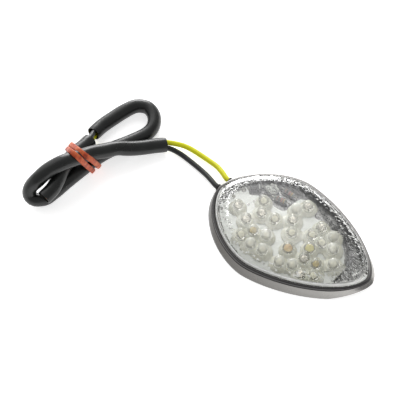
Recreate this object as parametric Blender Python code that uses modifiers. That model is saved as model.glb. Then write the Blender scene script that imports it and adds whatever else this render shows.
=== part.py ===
"""Flush-mount turn signal indicator with its folded lead, modelled in metres.

+X runs from the blunt end to the tip, +Z out through the lens. The origin is at the
bottom centre of the housing. Sizes below are in millimetres, and MM turns them to metres.
"""

import math

import bmesh
import bpy
from mathutils import Matrix, Vector

MM = 0.001

# ---- Leaf outline of the housing: its top edge, measured from its widest place ----
WIDEST_X = -8.0
LEAF_BACK = 32.4
LEAF_FRONT = 48.4
LEAF_HALF = 26.4
BACK_POWER = 1.70
FRONT_POWER = 1.64
RING_POINTS = 60

# ---- Housing ----
RIM_Z = 6.5
FLARE = 1.6
RIM_WIDTH = 1.4
RIM_BEVEL = 0.4
SEAT_Z = 4.9
SEAT_INSET = 2.8
FLOOR_Z = 1.3
CREASE_X = 29.7
TIP_SLOPE = 4.5 / 12.3
PAD_SHARE = 0.70
PAD_THICK = 0.4
RECESS_SHARE = PAD_SHARE + 0.012
RECESS_Z = 0.65

# ---- Lens ----
LENS_INSET = 1.7
LENS_BOTTOM = 5.6
LENS_EDGE_Z = 7.0
LENS_RISE = 4.0
LENS_THICK = 1.3
SKIRT_SHARE = 0.95
OUTER_SHARES = (1.0, 0.975, 0.94, 0.87, 0.76, 0.6, 0.4, 0.2)
INNER_SHARES = (0.25, 0.5, 0.7, 0.83, 0.9, 0.935)
GLUE_RING = (5.15, 5.4)
GLUE_INSETS = (1.8, 2.5)

# ---- Inside ----
BOARD_Z = (1.6, 2.6)
RESIN_Z = (2.85, 3.5)
INNER_MARGIN = 3.4
RESIN_RADIUS = 4.3
LED_BASE_Z = 3.75
LED_FLANGE = (2.7, 0.9)
LED_RADIUS = 2.4
LED_HEIGHT = 4.35
LED_STEPS = 12
LEADED_BODY_Z = 3.0
DIODE = (5.2, 1.3, 0.35, 1.2)
RESISTOR = (6.0, 1.15, 0.3, 1.6, 0.2)
DIODE_AT = (-27.7, 12.1, 45)
RESISTORS_AT = {"resistor_1": (-13.6, 18.4, -6), "resistor_2": (-14.6, 13.0, 8)}
GLUE_AT = (-20.7, 15.5, 1.6)
GLUE_DROP = ((0, 3.4), (1.2, 3.2), (2.1, 2.5), (2.6, 1.4), (2.8, 0.3), (2.7, 0), (0, 0))
JOINT = ((0, 1.1), (0.5, 1.0), (0.75, 0.6), (1.1, 0.15), (1.15, 0), (0, 0))
JOINT_LIFT = 0.25

# ---- Leads, sleeve and tie ----
WIRE_RADIUS = 1.22
WIRE_OFFSET = 1.33
SLEEVE_RADIUS = 3.5
SLEEVE_WALL = 0.5
WIRE_Z = 3.1
WIRE_Y = {"black": 2.0, "yellow": 7.8}
WIRE_START_X = {"black": -35.4, "yellow": -33.3}
JOINT_X = {"black": -33.6, "yellow": -31.4}
BUSH_X = {"black": -39.8, "yellow": -37.7}
BUSH_HALF = 2.0
BUSH_RADII = (1.40, 1.60)
HOLE_RADIUS = 1.78
HOLE_X = (-44.6, -32.6)
ROUTE_STEP = 3.8

# Centre of each LED and how far it leans (degrees) towards which side (degrees from +X).
LEDS = (
    (-27.9, -2.1, 5, 30), (-20.8, -5.7, 0, 0), (-19.7, 6.8, 6, 250), (-17.0, 1.2, 0, 0),
    (-10.4, 1.9, 0, 0), (-14.8, -8.9, 4, 120), (-18.0, -13.6, 5, 80), (-12.0, -14.9, 0, 0),
    (-8.6, -7.4, 6, 200), (-6.0, -14.6, 7, 70), (-3.6, 6.2, 0, 0), (-5.4, 11.7, 5, 300),
    (-1.9, 16.3, 6, 250), (-0.3, 0.5, 0, 0), (2.8, -7.2, 0, 0), (10.5, -1.6, 0, 0),
    (7.6, 4.8, 4, 60), (9.1, 10.4, 5, 240), (13.4, 4.0, 0, 0), (15.8, 9.2, 6, 320),
    (19.2, 4.1, 4, 200), (17.1, -6.7, 0, 0), (11.4, -7.4, 0, 0), (3.5, -15.4, 6, 100),
    (8.8, -12.9, 0, 0), (23.5, -2.4, 7, 180), (19.4, -12.0, 5, 140), (14.3, -14.7, 4, 100),
)

# The board's free edge, from the lead side round to the tip side. The rest follows the wall.
BOARD_EDGE = (
    (-35.6, -3.4), (-34.6, -1.2), (-34.6, 3.6), (-32.7, 5.6), (-32.5, 9.4), (-29.6, 8.9),
    (-27.6, 7.4), (-22.0, 9.8), (-14.2, 8.6), (-9.8, 9.6), (-8.8, 15.6), (-6.3, 19.6), (0.8, 19.4),
    (3.0, 14.6), (8.0, 14.8), (13.0, 13.4), (18.0, 13.0), (21.4, 9.0), (25.5, 4.0),
    (27.6, -2.4), (26.8, -8.6),
)
BOARD_WALL_ANGLES = (187, 332)

# Routes of the centre lines, by hand: each lead from its bush to the sleeve, then the sleeves.
FREE_ROUTES = {
    "black": (
        (-43.2, 2.2, 3.0), (-46.2, 3.3, 2.6), (-49.6, 4.6, 2.1), (-53.4, 5.6, 1.7),
        (-57.6, 6.4, 1.5), (-62.0, 7.0, 1.5), (-66.4, 7.3, 1.8), (-70.4, 6.8, 2.6),
    ),
    "yellow": (
        (-41.4, 8.1, 3.1), (-44.8, 9.8, 2.8), (-48.8, 11.4, 2.2), (-53.4, 12.1, 1.8),
        (-57.8, 12.4, 1.7), (-62.2, 12.5, 1.8), (-66.6, 12.1, 2.2), (-70.8, 10.5, 3.0),
    ),
}
LONG_SLEEVE = (
    (-74.8, 6.3, 4.1), (-78.5, 1.9, 5.1), (-81.9, -2.8, 6.4), (-85.4, -7.3, 8.0),
    (-89.3, -11.6, 9.9), (-92.3, -16.5, 11.2), (-95.2, -21.3, 12.6), (-97.0, -26.3, 14.5),
    (-98.3, -31.7, 17.4), (-100.3, -37.2, 19.0), (-103.3, -42.8, 17.6), (-105.4, -47.8, 14.5),
    (-107.8, -51.2, 9.9), (-107.5, -53.1, 6.2), (-105.0, -53.0, 4.3), (-101.6, -49.6, 3.7),
    (-100.4, -44.0, 4.0), (-99.2, -37.0, 4.7), (-97.8, -29.0, 5.0), (-96.4, -20.0, 4.8),
    (-94.1, -11.3, 3.9), (-89.2, -1.6, 3.6), (-86.1, 6.0, 3.6), (-86.2, 11.4, 3.7),
    (-89.2, 16.1, 3.9), (-94.3, 18.3, 4.2), (-99.4, 16.1, 4.2), (-102.2, 11.2, 3.9),
    (-104.3, 4.6, 3.6), (-105.8, -2.6, 3.8), (-105.9, -8.9, 4.6),
)
SHORT_SLEEVE = (
    (-103.4, -14.4, 7.4), (-103.2, -19.0, 8.3), (-103.4, -23.6, 9.2), (-103.1, -28.3, 10.2),
    (-102.3, -32.9, 11.1), (-101.2, -37.5, 11.6), (-99.6, -42.2, 11.4), (-98.6, -46.9, 11.0),
    (-99.1, -52.3, 10.2),
)
WIRE_END_SHARE = 0.94
TIE_AT = Vector((-99.0, -24.6, 9.0))
TIE_NORMAL = Vector((-0.12, -1.0, -0.40))
TIE_WIDTH = 5.0
TIE_THICK = 1.0
TIE_CLEARANCE = 0.3


# ---- Scene and small helpers ----

def clear_scene():
    for obj in list(bpy.data.objects):
        bpy.data.objects.remove(obj, do_unlink=True)


def collection(name):
    made = bpy.data.collections.new(name)
    bpy.context.scene.collection.children.link(made)
    return made


def material(name, colour, roughness, metallic=0.0, alpha=1.0):
    made = bpy.data.materials.new(name)
    made.use_nodes = True
    shader = made.node_tree.nodes["Principled BSDF"]
    shader.inputs["Base Color"].default_value = (*colour, 1.0)
    shader.inputs["Roughness"].default_value = roughness
    shader.inputs["Metallic"].default_value = metallic
    shader.inputs["Alpha"].default_value = alpha
    return made


def add_object(name, mesh, look, where, sharp=40):
    obj = bpy.data.objects.new(name, mesh)
    where.objects.link(obj)
    if look:
        mesh.materials.append(look)
    mesh.shade_smooth()
    mesh.set_sharp_from_angle(angle=math.radians(sharp))
    return obj


def mesh_from(bm, name):
    bmesh.ops.recalc_face_normals(bm, faces=bm.faces)
    mesh = bpy.data.meshes.new(name)
    bm.to_mesh(mesh)
    bm.free()
    return mesh


def evaluated_mesh(obj):
    graph = bpy.context.evaluated_depsgraph_get()
    return bpy.data.meshes.new_from_object(obj.evaluated_get(graph))


def make_cutter(obj):
    obj.hide_render = True
    obj.display_type = "WIRE"
    return obj


def boolean(obj, name, operation, cutter):
    cut = obj.modifiers.new(name, "BOOLEAN")
    cut.operation = operation
    cut.solver = "EXACT"
    cut.object = cutter
    return cut


# ---- Leaf-shaped pieces ----

def leaf_angle(step, count=RING_POINTS):
    """Angles that crowd together at the blunt end and at the tip."""
    even = 2 * math.pi * step / count
    return even - 0.2 * math.sin(2 * even)


def leaf_point(angle, inset=0.0, share=1.0):
    """Point of the leaf outline pulled in by inset, then scaled about its widest place."""
    across, up = math.cos(angle), math.sin(angle)
    reach, power = (LEAF_FRONT, FRONT_POWER) if across > 0 else (LEAF_BACK, BACK_POWER)
    radius = (abs(across) ** power + abs(up) ** power) ** (-1 / power)
    x = WIDEST_X + (reach - inset) * share * radius * across
    return x, (LEAF_HALF - inset) * share * radius * up


def leaf_ring(z, inset=0.0, share=1.0):
    return [Vector((*leaf_point(leaf_angle(i), inset, share), z)) for i in range(RING_POINTS)]


def tip_lift(x):
    """Height of the underside, which slopes up beyond the crease."""
    return max(0.0, x - CREASE_X) * TIP_SLOPE


def lofted(rings, capped=True):
    """Skin over rings of equal length: from the first to the last, with both ends capped."""
    bm = bmesh.new()
    loops = [[bm.verts.new(point) for point in ring] for ring in rings]
    count = len(loops[0])
    for low, high in zip(loops, loops[1:]):
        for i in range(count):
            j = (i + 1) % count
            bm.faces.new((low[i], low[j], high[j], high[i]))
    if capped:
        bm.faces.new(loops[0])
        bm.faces.new(loops[-1])
    else:
        for i in range(count):
            j = (i + 1) % count
            bm.faces.new((loops[-1][i], loops[-1][j], loops[0][j], loops[0][i]))
    return bm


def leaf_solid(name, rings, look, where, capped=True):
    """Leaf-shaped solid, split at the crease, with the part under the rim lifted at the tip."""
    bm = lofted(rings, capped)
    everything = bm.verts[:] + bm.edges[:] + bm.faces[:]
    bmesh.ops.bisect_plane(bm, geom=everything, plane_co=(CREASE_X, 0, 0), plane_no=(1, 0, 0))
    for vert in bm.verts:
        below_rim = max(0.0, RIM_Z - vert.co.z) / RIM_Z
        vert.co.z += tip_lift(vert.co.x) * below_rim
        vert.co *= MM
    return add_object(name, mesh_from(bm, name), look, where)


def housing(look, where, cutters):
    rings = [
        leaf_ring(RECESS_Z, share=RECESS_SHARE),
        leaf_ring(0.0, share=RECESS_SHARE),
        leaf_ring(0.0, -FLARE),
        leaf_ring(0.6, -FLARE - 0.1),
        leaf_ring(RIM_Z - 1.5, -0.25),
        leaf_ring(RIM_Z - 1.3, 0.0),
        leaf_ring(RIM_Z - RIM_BEVEL, 0.0),
        leaf_ring(RIM_Z, RIM_BEVEL),
        leaf_ring(RIM_Z, RIM_WIDTH),
        leaf_ring(SEAT_Z, RIM_WIDTH),
        leaf_ring(SEAT_Z, SEAT_INSET),
        leaf_ring(FLOOR_Z, SEAT_INSET),
    ]
    tray = leaf_solid("housing_tray", rings, look, where)
    outside, inside = HOLE_X
    for colour, y in WIRE_Y.items():
        bm = bmesh.new()
        bmesh.ops.create_cone(
            bm, cap_ends=True, segments=12, depth=(inside - outside) * MM,
            radius1=HOLE_RADIUS * MM, radius2=HOLE_RADIUS * MM,
            matrix=Matrix.Translation(Vector(((outside + inside) / 2, y, WIRE_Z)) * MM)
            @ Matrix.Rotation(math.pi / 2, 4, "Y"),
        )
        hole = make_cutter(add_object(f"hole_{colour}", mesh_from(bm, "hole"), None, cutters))
        boolean(tray, f"hole_{colour}", "DIFFERENCE", hole)
    return tray


def lens_height(share):
    """Outer surface of the lens: steep at its edge and nearly flat in the middle."""
    return LENS_EDGE_Z + LENS_RISE * max(0.0, 1 - share ** 4) ** 0.45


def lens(look, where):
    outer = [leaf_ring(lens_height(s), LENS_INSET, s) for s in OUTER_SHARES]
    inner = [leaf_ring(lens_height(s * 1.03) - LENS_THICK, LENS_INSET, s) for s in INNER_SHARES]
    skirt = [leaf_ring(LENS_BOTTOM, LENS_INSET, SKIRT_SHARE), leaf_ring(LENS_BOTTOM, LENS_INSET)]
    return leaf_solid("lens_cover", inner + skirt + outer, look, where)


def lens_adhesive(look, where):
    low, high = GLUE_RING
    near, far = GLUE_INSETS
    rings = [leaf_ring(low, far), leaf_ring(low, near), leaf_ring(high, near), leaf_ring(high, far)]
    return leaf_solid("lens_adhesive", rings, look, where, capped=False)


def adhesive_pad(look, where):
    rings = [leaf_ring(0.0, share=PAD_SHARE), leaf_ring(PAD_THICK, share=PAD_SHARE)]
    return leaf_solid("adhesive_pad", rings, look, where)


# ---- Board, resin and components ----

def plate(name, outline, z_range, look, where):
    """Flat plate with this outline, made from a filled 2D curve."""
    low, high = z_range
    curve = bpy.data.curves.new(name, "CURVE")
    curve.dimensions = "2D"
    curve.fill_mode = "BOTH"
    curve.extrude = (high - low) / 2 * MM
    spline = curve.splines.new("POLY")
    spline.points.add(len(outline) - 1)
    spline.use_cyclic_u = True
    for point, (x, y) in zip(spline.points, outline):
        point.co = (x * MM, y * MM, 0, 1)
    flat = bpy.data.objects.new(f"{name}_curve", curve)
    flat.location.z = (low + high) / 2 * MM
    where.objects.link(flat)
    bpy.context.view_layer.update()
    bm = bmesh.new()
    bm.from_mesh(evaluated_mesh(flat))
    bm.transform(flat.matrix_world)
    bmesh.ops.remove_doubles(bm, verts=bm.verts, dist=1e-6)
    bpy.data.objects.remove(flat, do_unlink=True)
    return add_object(name, mesh_from(bm, name), look, where)


def smooth_points(points, between):
    """Catmull-Rom curve through points, with this many steps between each two."""
    ends = [points[0] * 2 - points[1], *points, points[-1] * 2 - points[-2]]
    path = []
    for a, b, c, d in zip(ends, ends[1:], ends[2:], ends[3:]):
        for step in range(between):
            t = step / between
            path.append(
                0.5 * (2 * b + (c - a) * t + (2 * a - 5 * b + 4 * c - d) * t ** 2
                       + (3 * b - a - 3 * c + d) * t ** 3)
            )
    return [*path, points[-1].copy()]


def circuit_board(look, where):
    start, stop = BOARD_WALL_ANGLES
    wall = [
        leaf_point(math.radians(angle), INNER_MARGIN) for angle in range(start, stop, 8)
    ]
    free = [(p.x, p.y) for p in smooth_points([Vector((*p, 0)) for p in BOARD_EDGE], 2)]
    return plate("circuit_board", wall + free[::-1], BOARD_Z, look, where)


def potting_resin(look, where, cutters):
    """Resin with a scalloped edge: a round pool about each LED, kept off the wall."""
    low, high = RESIN_Z
    pools = []
    for i, (x, y, _, _) in enumerate(LEDS):
        bm = bmesh.new()
        bmesh.ops.create_cone(
            bm, cap_ends=True, segments=14, depth=(high - low) * MM,
            radius1=RESIN_RADIUS * MM, radius2=RESIN_RADIUS * MM,
            matrix=Matrix.Translation(Vector((x, y, (low + high) / 2)) * MM)
            @ Matrix.Rotation(0.1 * i, 4, "Z"),
        )
        pools.append(mesh_from(bm, f"pool_{i}"))
    resin = add_object("potting_resin", pools[0], look, where)
    gathered = bpy.data.collections.new("resin_pools")
    cutters.children.link(gathered)
    for i, mesh in enumerate(pools[1:]):
        make_cutter(add_object(f"pool_{i + 1}", mesh, None, gathered))
    join = resin.modifiers.new("pools", "BOOLEAN")
    join.operation = "UNION"
    join.solver = "EXACT"
    join.operand_type = "COLLECTION"
    join.collection = gathered
    ring = [leaf_point(leaf_angle(i), INNER_MARGIN) for i in range(RING_POINTS)]
    border = make_cutter(plate("resin_border", ring, (low - 1, high + 1), None, cutters))
    boolean(resin, "border", "INTERSECT", border)
    return resin


def turned(name, profile, look, where, steps):
    """Solid of revolution about Z. The profile runs down its outer side, top to bottom."""
    bm = bmesh.new()
    verts = [bm.verts.new((radius * MM, 0, z * MM)) for radius, z in profile]
    for a, b in zip(verts, verts[1:]):
        bm.edges.new((a, b))
    mesh = bpy.data.meshes.new(name)
    bm.to_mesh(mesh)
    bm.free()
    obj = add_object(name, mesh, look, where)
    screw = obj.modifiers.new("turn", "SCREW")
    screw.steps = steps
    screw.render_steps = steps
    screw.use_merge_vertices = True
    screw.merge_threshold = 0.00001
    return obj


def led_profile():
    flange, thick = LED_FLANGE
    shoulder = LED_HEIGHT - LED_RADIUS * 0.72
    dome = [
        (LED_RADIUS * math.sin(a), shoulder + LED_RADIUS * 0.72 * math.cos(a))
        for a in (math.radians(step) for step in (0, 32, 62, 90))
    ]
    return [*dome, (LED_RADIUS, thick), (flange, thick), (flange, 0), (0, 0)]


def leds(look, where):
    for i, (x, y, lean, side) in enumerate(LEDS):
        led = turned(f"led_{i + 1:02d}", led_profile(), look, where, LED_STEPS)
        dip = LED_FLANGE[0] * math.sin(math.radians(lean))
        axis = Matrix.Rotation(math.radians(side), 4, "Z")
        tilt = axis @ Matrix.Rotation(math.radians(lean), 4, "Y") @ axis.inverted()
        led.matrix_world = Matrix.Translation(Vector((x, y, LED_BASE_Z + dip)) * MM) @ tilt


def lying(obj, x, y, z, heading):
    """Turns a piece made along Z to lie along a heading, in degrees from +X."""
    obj.matrix_world = (
        Matrix.Translation(Vector((x, y, z)) * MM)
        @ Matrix.Rotation(math.radians(heading), 4, "Z")
        @ Matrix.Rotation(math.pi / 2, 4, "Y")
    )
    return obj


def capsule(length, radius, lead, reach, pinch=0.0):
    """Half profiles of an axial component: a body with round shoulders and two leads."""
    half = length / 2
    upper = [(0, half + reach), (lead, half + reach), (lead, half), (radius * 0.8, half)]
    upper += [(radius, half - 0.4), (radius, half * 0.55), (radius - pinch, half * 0.4)]
    return upper + [(r, -z) for r, z in reversed(upper)]


def components(looks, where):
    diode = turned("reverse_diode", capsule(*DIODE), looks["diode"], where, 12)
    x, y, heading = DIODE_AT
    lying(diode, x, y, LEADED_BODY_Z, heading)
    for name, (x, y, heading) in RESISTORS_AT.items():
        resistor = turned(name, capsule(*RESISTOR), looks["resistor"], where, 12)
        lying(resistor, x, y, LEADED_BODY_Z, heading)
    glue = turned("glue_bead", GLUE_DROP, looks["glue"], where, 16)
    glue.location = Vector(GLUE_AT) * MM
    for colour, x in JOINT_X.items():
        solder = turned(f"solder_joint_{colour}", JOINT, looks["solder"], where, 12)
        solder.location = Vector((x, WIRE_Y[colour], BOARD_Z[1] + JOINT_LIFT)) * MM


# ---- Leads, sleeves, bushes and tie ----

def evenly(points, spacing):
    """The smooth curve through points, read at an even spacing."""
    fine = smooth_points(points, 12)
    lengths = [0.0]
    for a, b in zip(fine, fine[1:]):
        lengths.append(lengths[-1] + (b - a).length)
    count = max(2, round(lengths[-1] / spacing))
    path, k = [], 0
    for i in range(count + 1):
        target = lengths[-1] * i / count
        while k < len(fine) - 2 and lengths[k + 1] < target:
            k += 1
        part = (target - lengths[k]) / (lengths[k + 1] - lengths[k])
        path.append(fine[k].lerp(fine[k + 1], min(1.0, part)))
    return path


def beside(path, offset, first_normal):
    """The path moved sideways, with a side direction that is carried along without twist."""
    moved, normal = [], first_normal
    for i, point in enumerate(path):
        along = (path[min(i + 1, len(path) - 1)] - path[max(i - 1, 0)]).normalized()
        normal = (normal - along * normal.dot(along)).normalized()
        moved.append(point + normal * offset)
    return moved


def tube_mesh(name, path, radius, resolution, caps, where):
    """Mesh of a bevelled curve along the path, welded."""
    curve = bpy.data.curves.new(name, "CURVE")
    curve.dimensions = "3D"
    curve.bevel_depth = radius * MM
    curve.bevel_resolution = resolution
    curve.use_fill_caps = caps
    spline = curve.splines.new("POLY")
    spline.points.add(len(path) - 1)
    for point, place in zip(spline.points, path):
        point.co = (*(place * MM), 1)
    line = bpy.data.objects.new(f"{name}_curve", curve)
    where.objects.link(line)
    bpy.context.view_layer.update()
    bm = bmesh.new()
    bm.from_mesh(evaluated_mesh(line))
    bmesh.ops.remove_doubles(bm, verts=bm.verts, dist=1e-6)
    bpy.data.objects.remove(line, do_unlink=True)
    return mesh_from(bm, name)


def sleeve(name, route, look, where):
    path = evenly([Vector(p) for p in route], ROUTE_STEP)
    obj = add_object(name, tube_mesh(name, path, SLEEVE_RADIUS, 3, False, where), look, where)
    wall = obj.modifiers.new("wall", "SOLIDIFY")
    wall.thickness = SLEEVE_WALL * MM
    wall.offset = -1
    return obj


def wire(colour, side, look, where):
    """One lead: from the board, out through the wall, and beside its twin in both sleeves."""
    sleeves = [
        evenly([Vector(p) for p in route], ROUTE_STEP) for route in (LONG_SLEEVE, SHORT_SLEEVE)
    ]
    short = sleeves[1]
    kept = short[: max(2, round(len(short) * WIRE_END_SHARE))]
    first_normal = Vector((-0.588, 0.809, 0.25))
    inside = beside([*sleeves[0], *kept], side * WIRE_OFFSET, first_normal)
    exit_x = BUSH_X[colour] - BUSH_HALF
    through_wall = [
        Vector((x, WIRE_Y[colour], WIRE_Z)) for x in (WIRE_START_X[colour], BUSH_X[colour], exit_x)
    ]
    free = [*through_wall, *(Vector(p) for p in FREE_ROUTES[colour]), inside[0]]
    path = evenly(free, ROUTE_STEP)[:-1] + inside
    name = f"{colour}_wire"
    return add_object(name, tube_mesh(name, path, WIRE_RADIUS, 2, True, where), look, where)


def bushes(look, where):
    """Soft bushes that line the two holes and stand a little proud of the wall."""
    bore, outer = BUSH_RADII
    half = BUSH_HALF
    profile = [(bore, half), (outer, half), (outer, -half), (bore, -half), (bore, half)]
    for colour, x in BUSH_X.items():
        bush = turned(f"wire_bush_{colour}", profile, look, where, 12)
        lying(bush, x, WIRE_Y[colour], WIRE_Z, 0)


def tie_band(look, where):
    """Rubber band: a ring round the bundle that follows the hull of its three strands."""
    normal = TIE_NORMAL.normalized()
    side = normal.cross(Vector((0, 0, 1))).normalized()
    axes = (side, side.cross(normal))
    strands = [
        evenly([Vector(p) for p in route], 0.5)
        for route in (LONG_SLEEVE[:11], LONG_SLEEVE[16:22], SHORT_SLEEVE)
    ]
    inner = TIE_CLEARANCE
    outer = TIE_CLEARANCE + TIE_THICK
    rings = []
    for reach, shift in ((inner, -0.5), (outer, -0.5), (outer, 0.5), (inner, 0.5)):
        middle = TIE_AT + normal * shift * TIE_WIDTH
        crossings = [crossing(path, middle, normal, axes) for path in strands]
        rings.append([
            middle + axes[0] * u + axes[1] * v for u, v in hull_outline(crossings, reach)
        ])
    bm = lofted(rings, capped=False)
    bmesh.ops.scale(bm, vec=(MM, MM, MM), verts=bm.verts)
    return add_object("tie_band", mesh_from(bm, "tie_band"), look, where)


def crossing(path, middle, normal, axes):
    """Where a strand crosses a plane, and how far it leans along each axis of the plane."""
    k = min(range(1, len(path) - 1), key=lambda i: abs((path[i] - middle).dot(normal)))
    ahead = path[k + 1] - path[k - 1]
    ahead /= ahead.dot(normal)
    here = path[k] - middle
    here -= ahead * here.dot(normal)
    return [here.dot(axis) for axis in axes], [ahead.dot(axis) for axis in axes]


def hull_outline(crossings, reach, count=36):
    """Outline of a band stretched round slanting sleeves, this far off them."""
    middle = [sum(place[k] for place, _ in crossings) / len(crossings) for k in (0, 1)]
    outline = []
    for i in range(count):
        angle = 2 * math.pi * i / count
        u, v = math.cos(angle), math.sin(angle)
        far = max(
            (place[0] - middle[0]) * u + (place[1] - middle[1]) * v
            + SLEEVE_RADIUS * math.hypot(1, lean[0] * u + lean[1] * v)
            for place, lean in crossings
        )
        outline.append((angle, far + reach))
    return [support_point(outline, i, middle) for i in range(count)]


def support_point(outline, i, middle):
    """Point where two neighbouring tangent lines of the hull cross."""
    (a, p), (b, q) = outline[i], outline[(i + 1) % len(outline)]
    det = math.sin(b - a)
    x = (p * math.sin(b) - q * math.sin(a)) / det
    y = (q * math.cos(a) - p * math.cos(b)) / det
    return middle[0] + x, middle[1] + y


def build():
    clear_scene()
    parts = collection("turn_signal_indicator")
    cutters = collection("cutters")
    smoke = material("smoke_chrome", (0.16, 0.16, 0.165), 0.28, 0.6)
    clear = material("clear_polycarbonate", (0.9, 0.9, 0.88), 0.05, alpha=0.3)
    white = material("white_board", (0.72, 0.72, 0.68), 0.5)
    resin = material("milky_resin", (0.62, 0.6, 0.5), 0.3)
    water_clear = material("led_epoxy", (0.85, 0.85, 0.78), 0.08, alpha=0.5)
    black_pvc = material("black_pvc", (0.02, 0.022, 0.02), 0.35)
    yellow_pvc = material("yellow_pvc", (0.72, 0.72, 0.01), 0.4)
    red_rubber = material("red_rubber", (0.55, 0.06, 0.02), 0.5)
    foam = material("adhesive_foam", (0.05, 0.05, 0.05), 0.9)
    glue = material("clear_glue", (0.8, 0.8, 0.75), 0.15, alpha=0.6)
    housing(smoke, parts, cutters)
    lens(clear, parts)
    lens_adhesive(glue, parts)
    adhesive_pad(foam, parts)
    circuit_board(white, parts)
    potting_resin(resin, parts, cutters)
    leds(water_clear, parts)
    looks = {
        "diode": material("black_epoxy", (0.02, 0.02, 0.02), 0.4),
        "resistor": material("resistor_lacquer", (0.55, 0.45, 0.3), 0.4),
        "glue": glue,
        "solder": material("solder", (0.6, 0.6, 0.6), 0.25, 1.0),
    }
    components(looks, parts)
    bushes(black_pvc, parts)
    sleeve("sleeve_long", LONG_SLEEVE, black_pvc, parts)
    sleeve("sleeve_short", SHORT_SLEEVE, black_pvc, parts)
    wire("black", -1, black_pvc, parts)
    wire("yellow", 1, yellow_pvc, parts)
    tie_band(red_rubber, parts)


build()
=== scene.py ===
"""Looks of a flush-mount turn signal indicator: the LED lamp, its leads, sleeves and rubber tie.

Sizes are in millimetres unless a name says otherwise. +X runs from the lamp's blunt end to
its tip, and +Z out through the lens. Meshes are turned to metres when they are made.
"""

import logging
import math
import random
from collections.abc import Iterable, Sequence
from dataclasses import dataclass, field
from enum import Enum

import bmesh
import bpy
from mathutils import Matrix, Vector


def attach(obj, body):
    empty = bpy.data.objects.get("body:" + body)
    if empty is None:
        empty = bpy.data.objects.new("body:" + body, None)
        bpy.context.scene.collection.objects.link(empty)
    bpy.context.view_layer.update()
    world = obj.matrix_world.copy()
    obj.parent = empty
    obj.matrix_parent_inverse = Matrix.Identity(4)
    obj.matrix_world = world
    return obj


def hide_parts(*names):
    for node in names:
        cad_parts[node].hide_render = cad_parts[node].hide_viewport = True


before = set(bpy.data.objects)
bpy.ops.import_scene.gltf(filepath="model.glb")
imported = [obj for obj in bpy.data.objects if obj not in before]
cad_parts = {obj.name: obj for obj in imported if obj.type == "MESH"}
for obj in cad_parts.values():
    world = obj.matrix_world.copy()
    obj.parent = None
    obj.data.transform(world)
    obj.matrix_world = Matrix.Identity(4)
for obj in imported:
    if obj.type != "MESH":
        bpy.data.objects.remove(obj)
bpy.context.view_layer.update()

MM = 0.001
BODY = "root"
log = logging.getLogger("turn_signal")

Point = tuple[float, float, float]
Ring = list[Vector]


# ---- Small helpers ----


def linear(colour: str) -> tuple[float, float, float, float]:
    """Turns an sRGB hex colour to linear RGBA.

    Args:
        colour: Six hex digits after a hash.

    Returns:
        Red, green, blue and an alpha of 1.
    """
    parts = [int(colour[i : i + 2], 16) / 255 for i in (1, 3, 5)]
    return (*(c / 12.92 if c <= 0.04045 else ((c + 0.055) / 1.055) ** 2.4 for c in parts), 1.0)


def per_metre(size_mm: float) -> float:
    """Texture scale that repeats about every size_mm on coordinates in metres."""
    return 1000.0 / size_mm


def add_node(tree: bpy.types.NodeTree, kind: str, settings: dict | None = None,
             links: dict | None = None) -> bpy.types.Node:
    """Adds one node with its settings, and fills or links its inputs.

    Args:
        tree: Node tree that takes the node.
        kind: Blender's name of the node type.
        settings: Attributes of the node by name.
        links: Inputs by name or number, each a value or another node's output.

    Returns:
        The new node.
    """
    node = tree.nodes.new(kind)
    for name, value in (settings or {}).items():
        setattr(node, name, value)
    for key, value in (links or {}).items():
        if isinstance(value, bpy.types.NodeSocket):
            tree.links.new(value, node.inputs[key])
        else:
            node.inputs[key].default_value = value
    return node


def set_ramp(node: bpy.types.Node, stops: Sequence[tuple[float, str]]) -> None:
    """Fills a colour ramp with stops.

    Args:
        node: Colour ramp node.
        stops: Position and hex colour of each stop, in rising order.
    """
    elements = node.color_ramp.elements
    while len(elements) < len(stops):
        elements.new(0.5)
    for element, (position, colour) in zip(elements, stops):
        element.position = position
        element.color = linear(colour)


def settle(piece: bpy.types.Object, slot: str, *nodes: str) -> bpy.types.Object:
    """Makes a piece ride on the lamp, and hides and logs the CAD nodes that it stands for.

    Args:
        piece: Finished piece.
        slot: Material slot of the record that it takes its finish from; not used.
        nodes: CAD nodes that it replaces.

    Returns:
        The same piece.
    """
    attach(piece, BODY)
    if nodes:
        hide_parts(*nodes)
    log.info("%s: %s", piece.name, ", ".join(nodes) or "added detail")
    return piece


# ---- Mesh making ----


@dataclass
class Skin:
    """A skin over rings of equal length, gathered row by row in millimetres."""

    rings: list[Ring] = field(default_factory=list)
    slots: list[int] = field(default_factory=list)
    facets: list[bool] = field(default_factory=list)

    def row(self, ring: Ring, slot: int = 0, faceted: bool = False) -> None:
        """Adds a ring; slot and faceted hold for the band between it and the next ring.

        Args:
            ring: Points of the ring, as many as in the others.
            slot: Material slot of the band between this ring and the next.
            faceted: Whether that band is left flat.
        """
        self.rings.append(ring)
        self.slots.append(slot)
        self.facets.append(faceted)

    def bmesh(self, capped: bool = True, joined: bool = False) -> bmesh.types.BMesh:
        """Makes the skin.

        Args:
            capped: Whether the first and the last ring are closed by a face.
            joined: Whether the last ring is joined to the first.

        Returns:
            A bmesh in millimetres.
        """
        bm = bmesh.new()
        loops = [[bm.verts.new(p) for p in ring] for ring in self.rings]
        count = len(loops[0])
        pairs = list(zip(loops, loops[1:]))
        if joined:
            pairs.append((loops[-1], loops[0]))
        for k, (low, high) in enumerate(pairs):
            for i in range(count):
                j = (i + 1) % count
                face = bm.faces.new((low[i], low[j], high[j], high[i]))
                face.smooth = not self.facets[k]
                face.material_index = self.slots[k]
        if capped:
            for loop, slot in ((loops[0], self.slots[0]), (loops[-1], self.slots[-1])):
                bm.faces.new(loop).material_index = slot
        return bm


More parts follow.
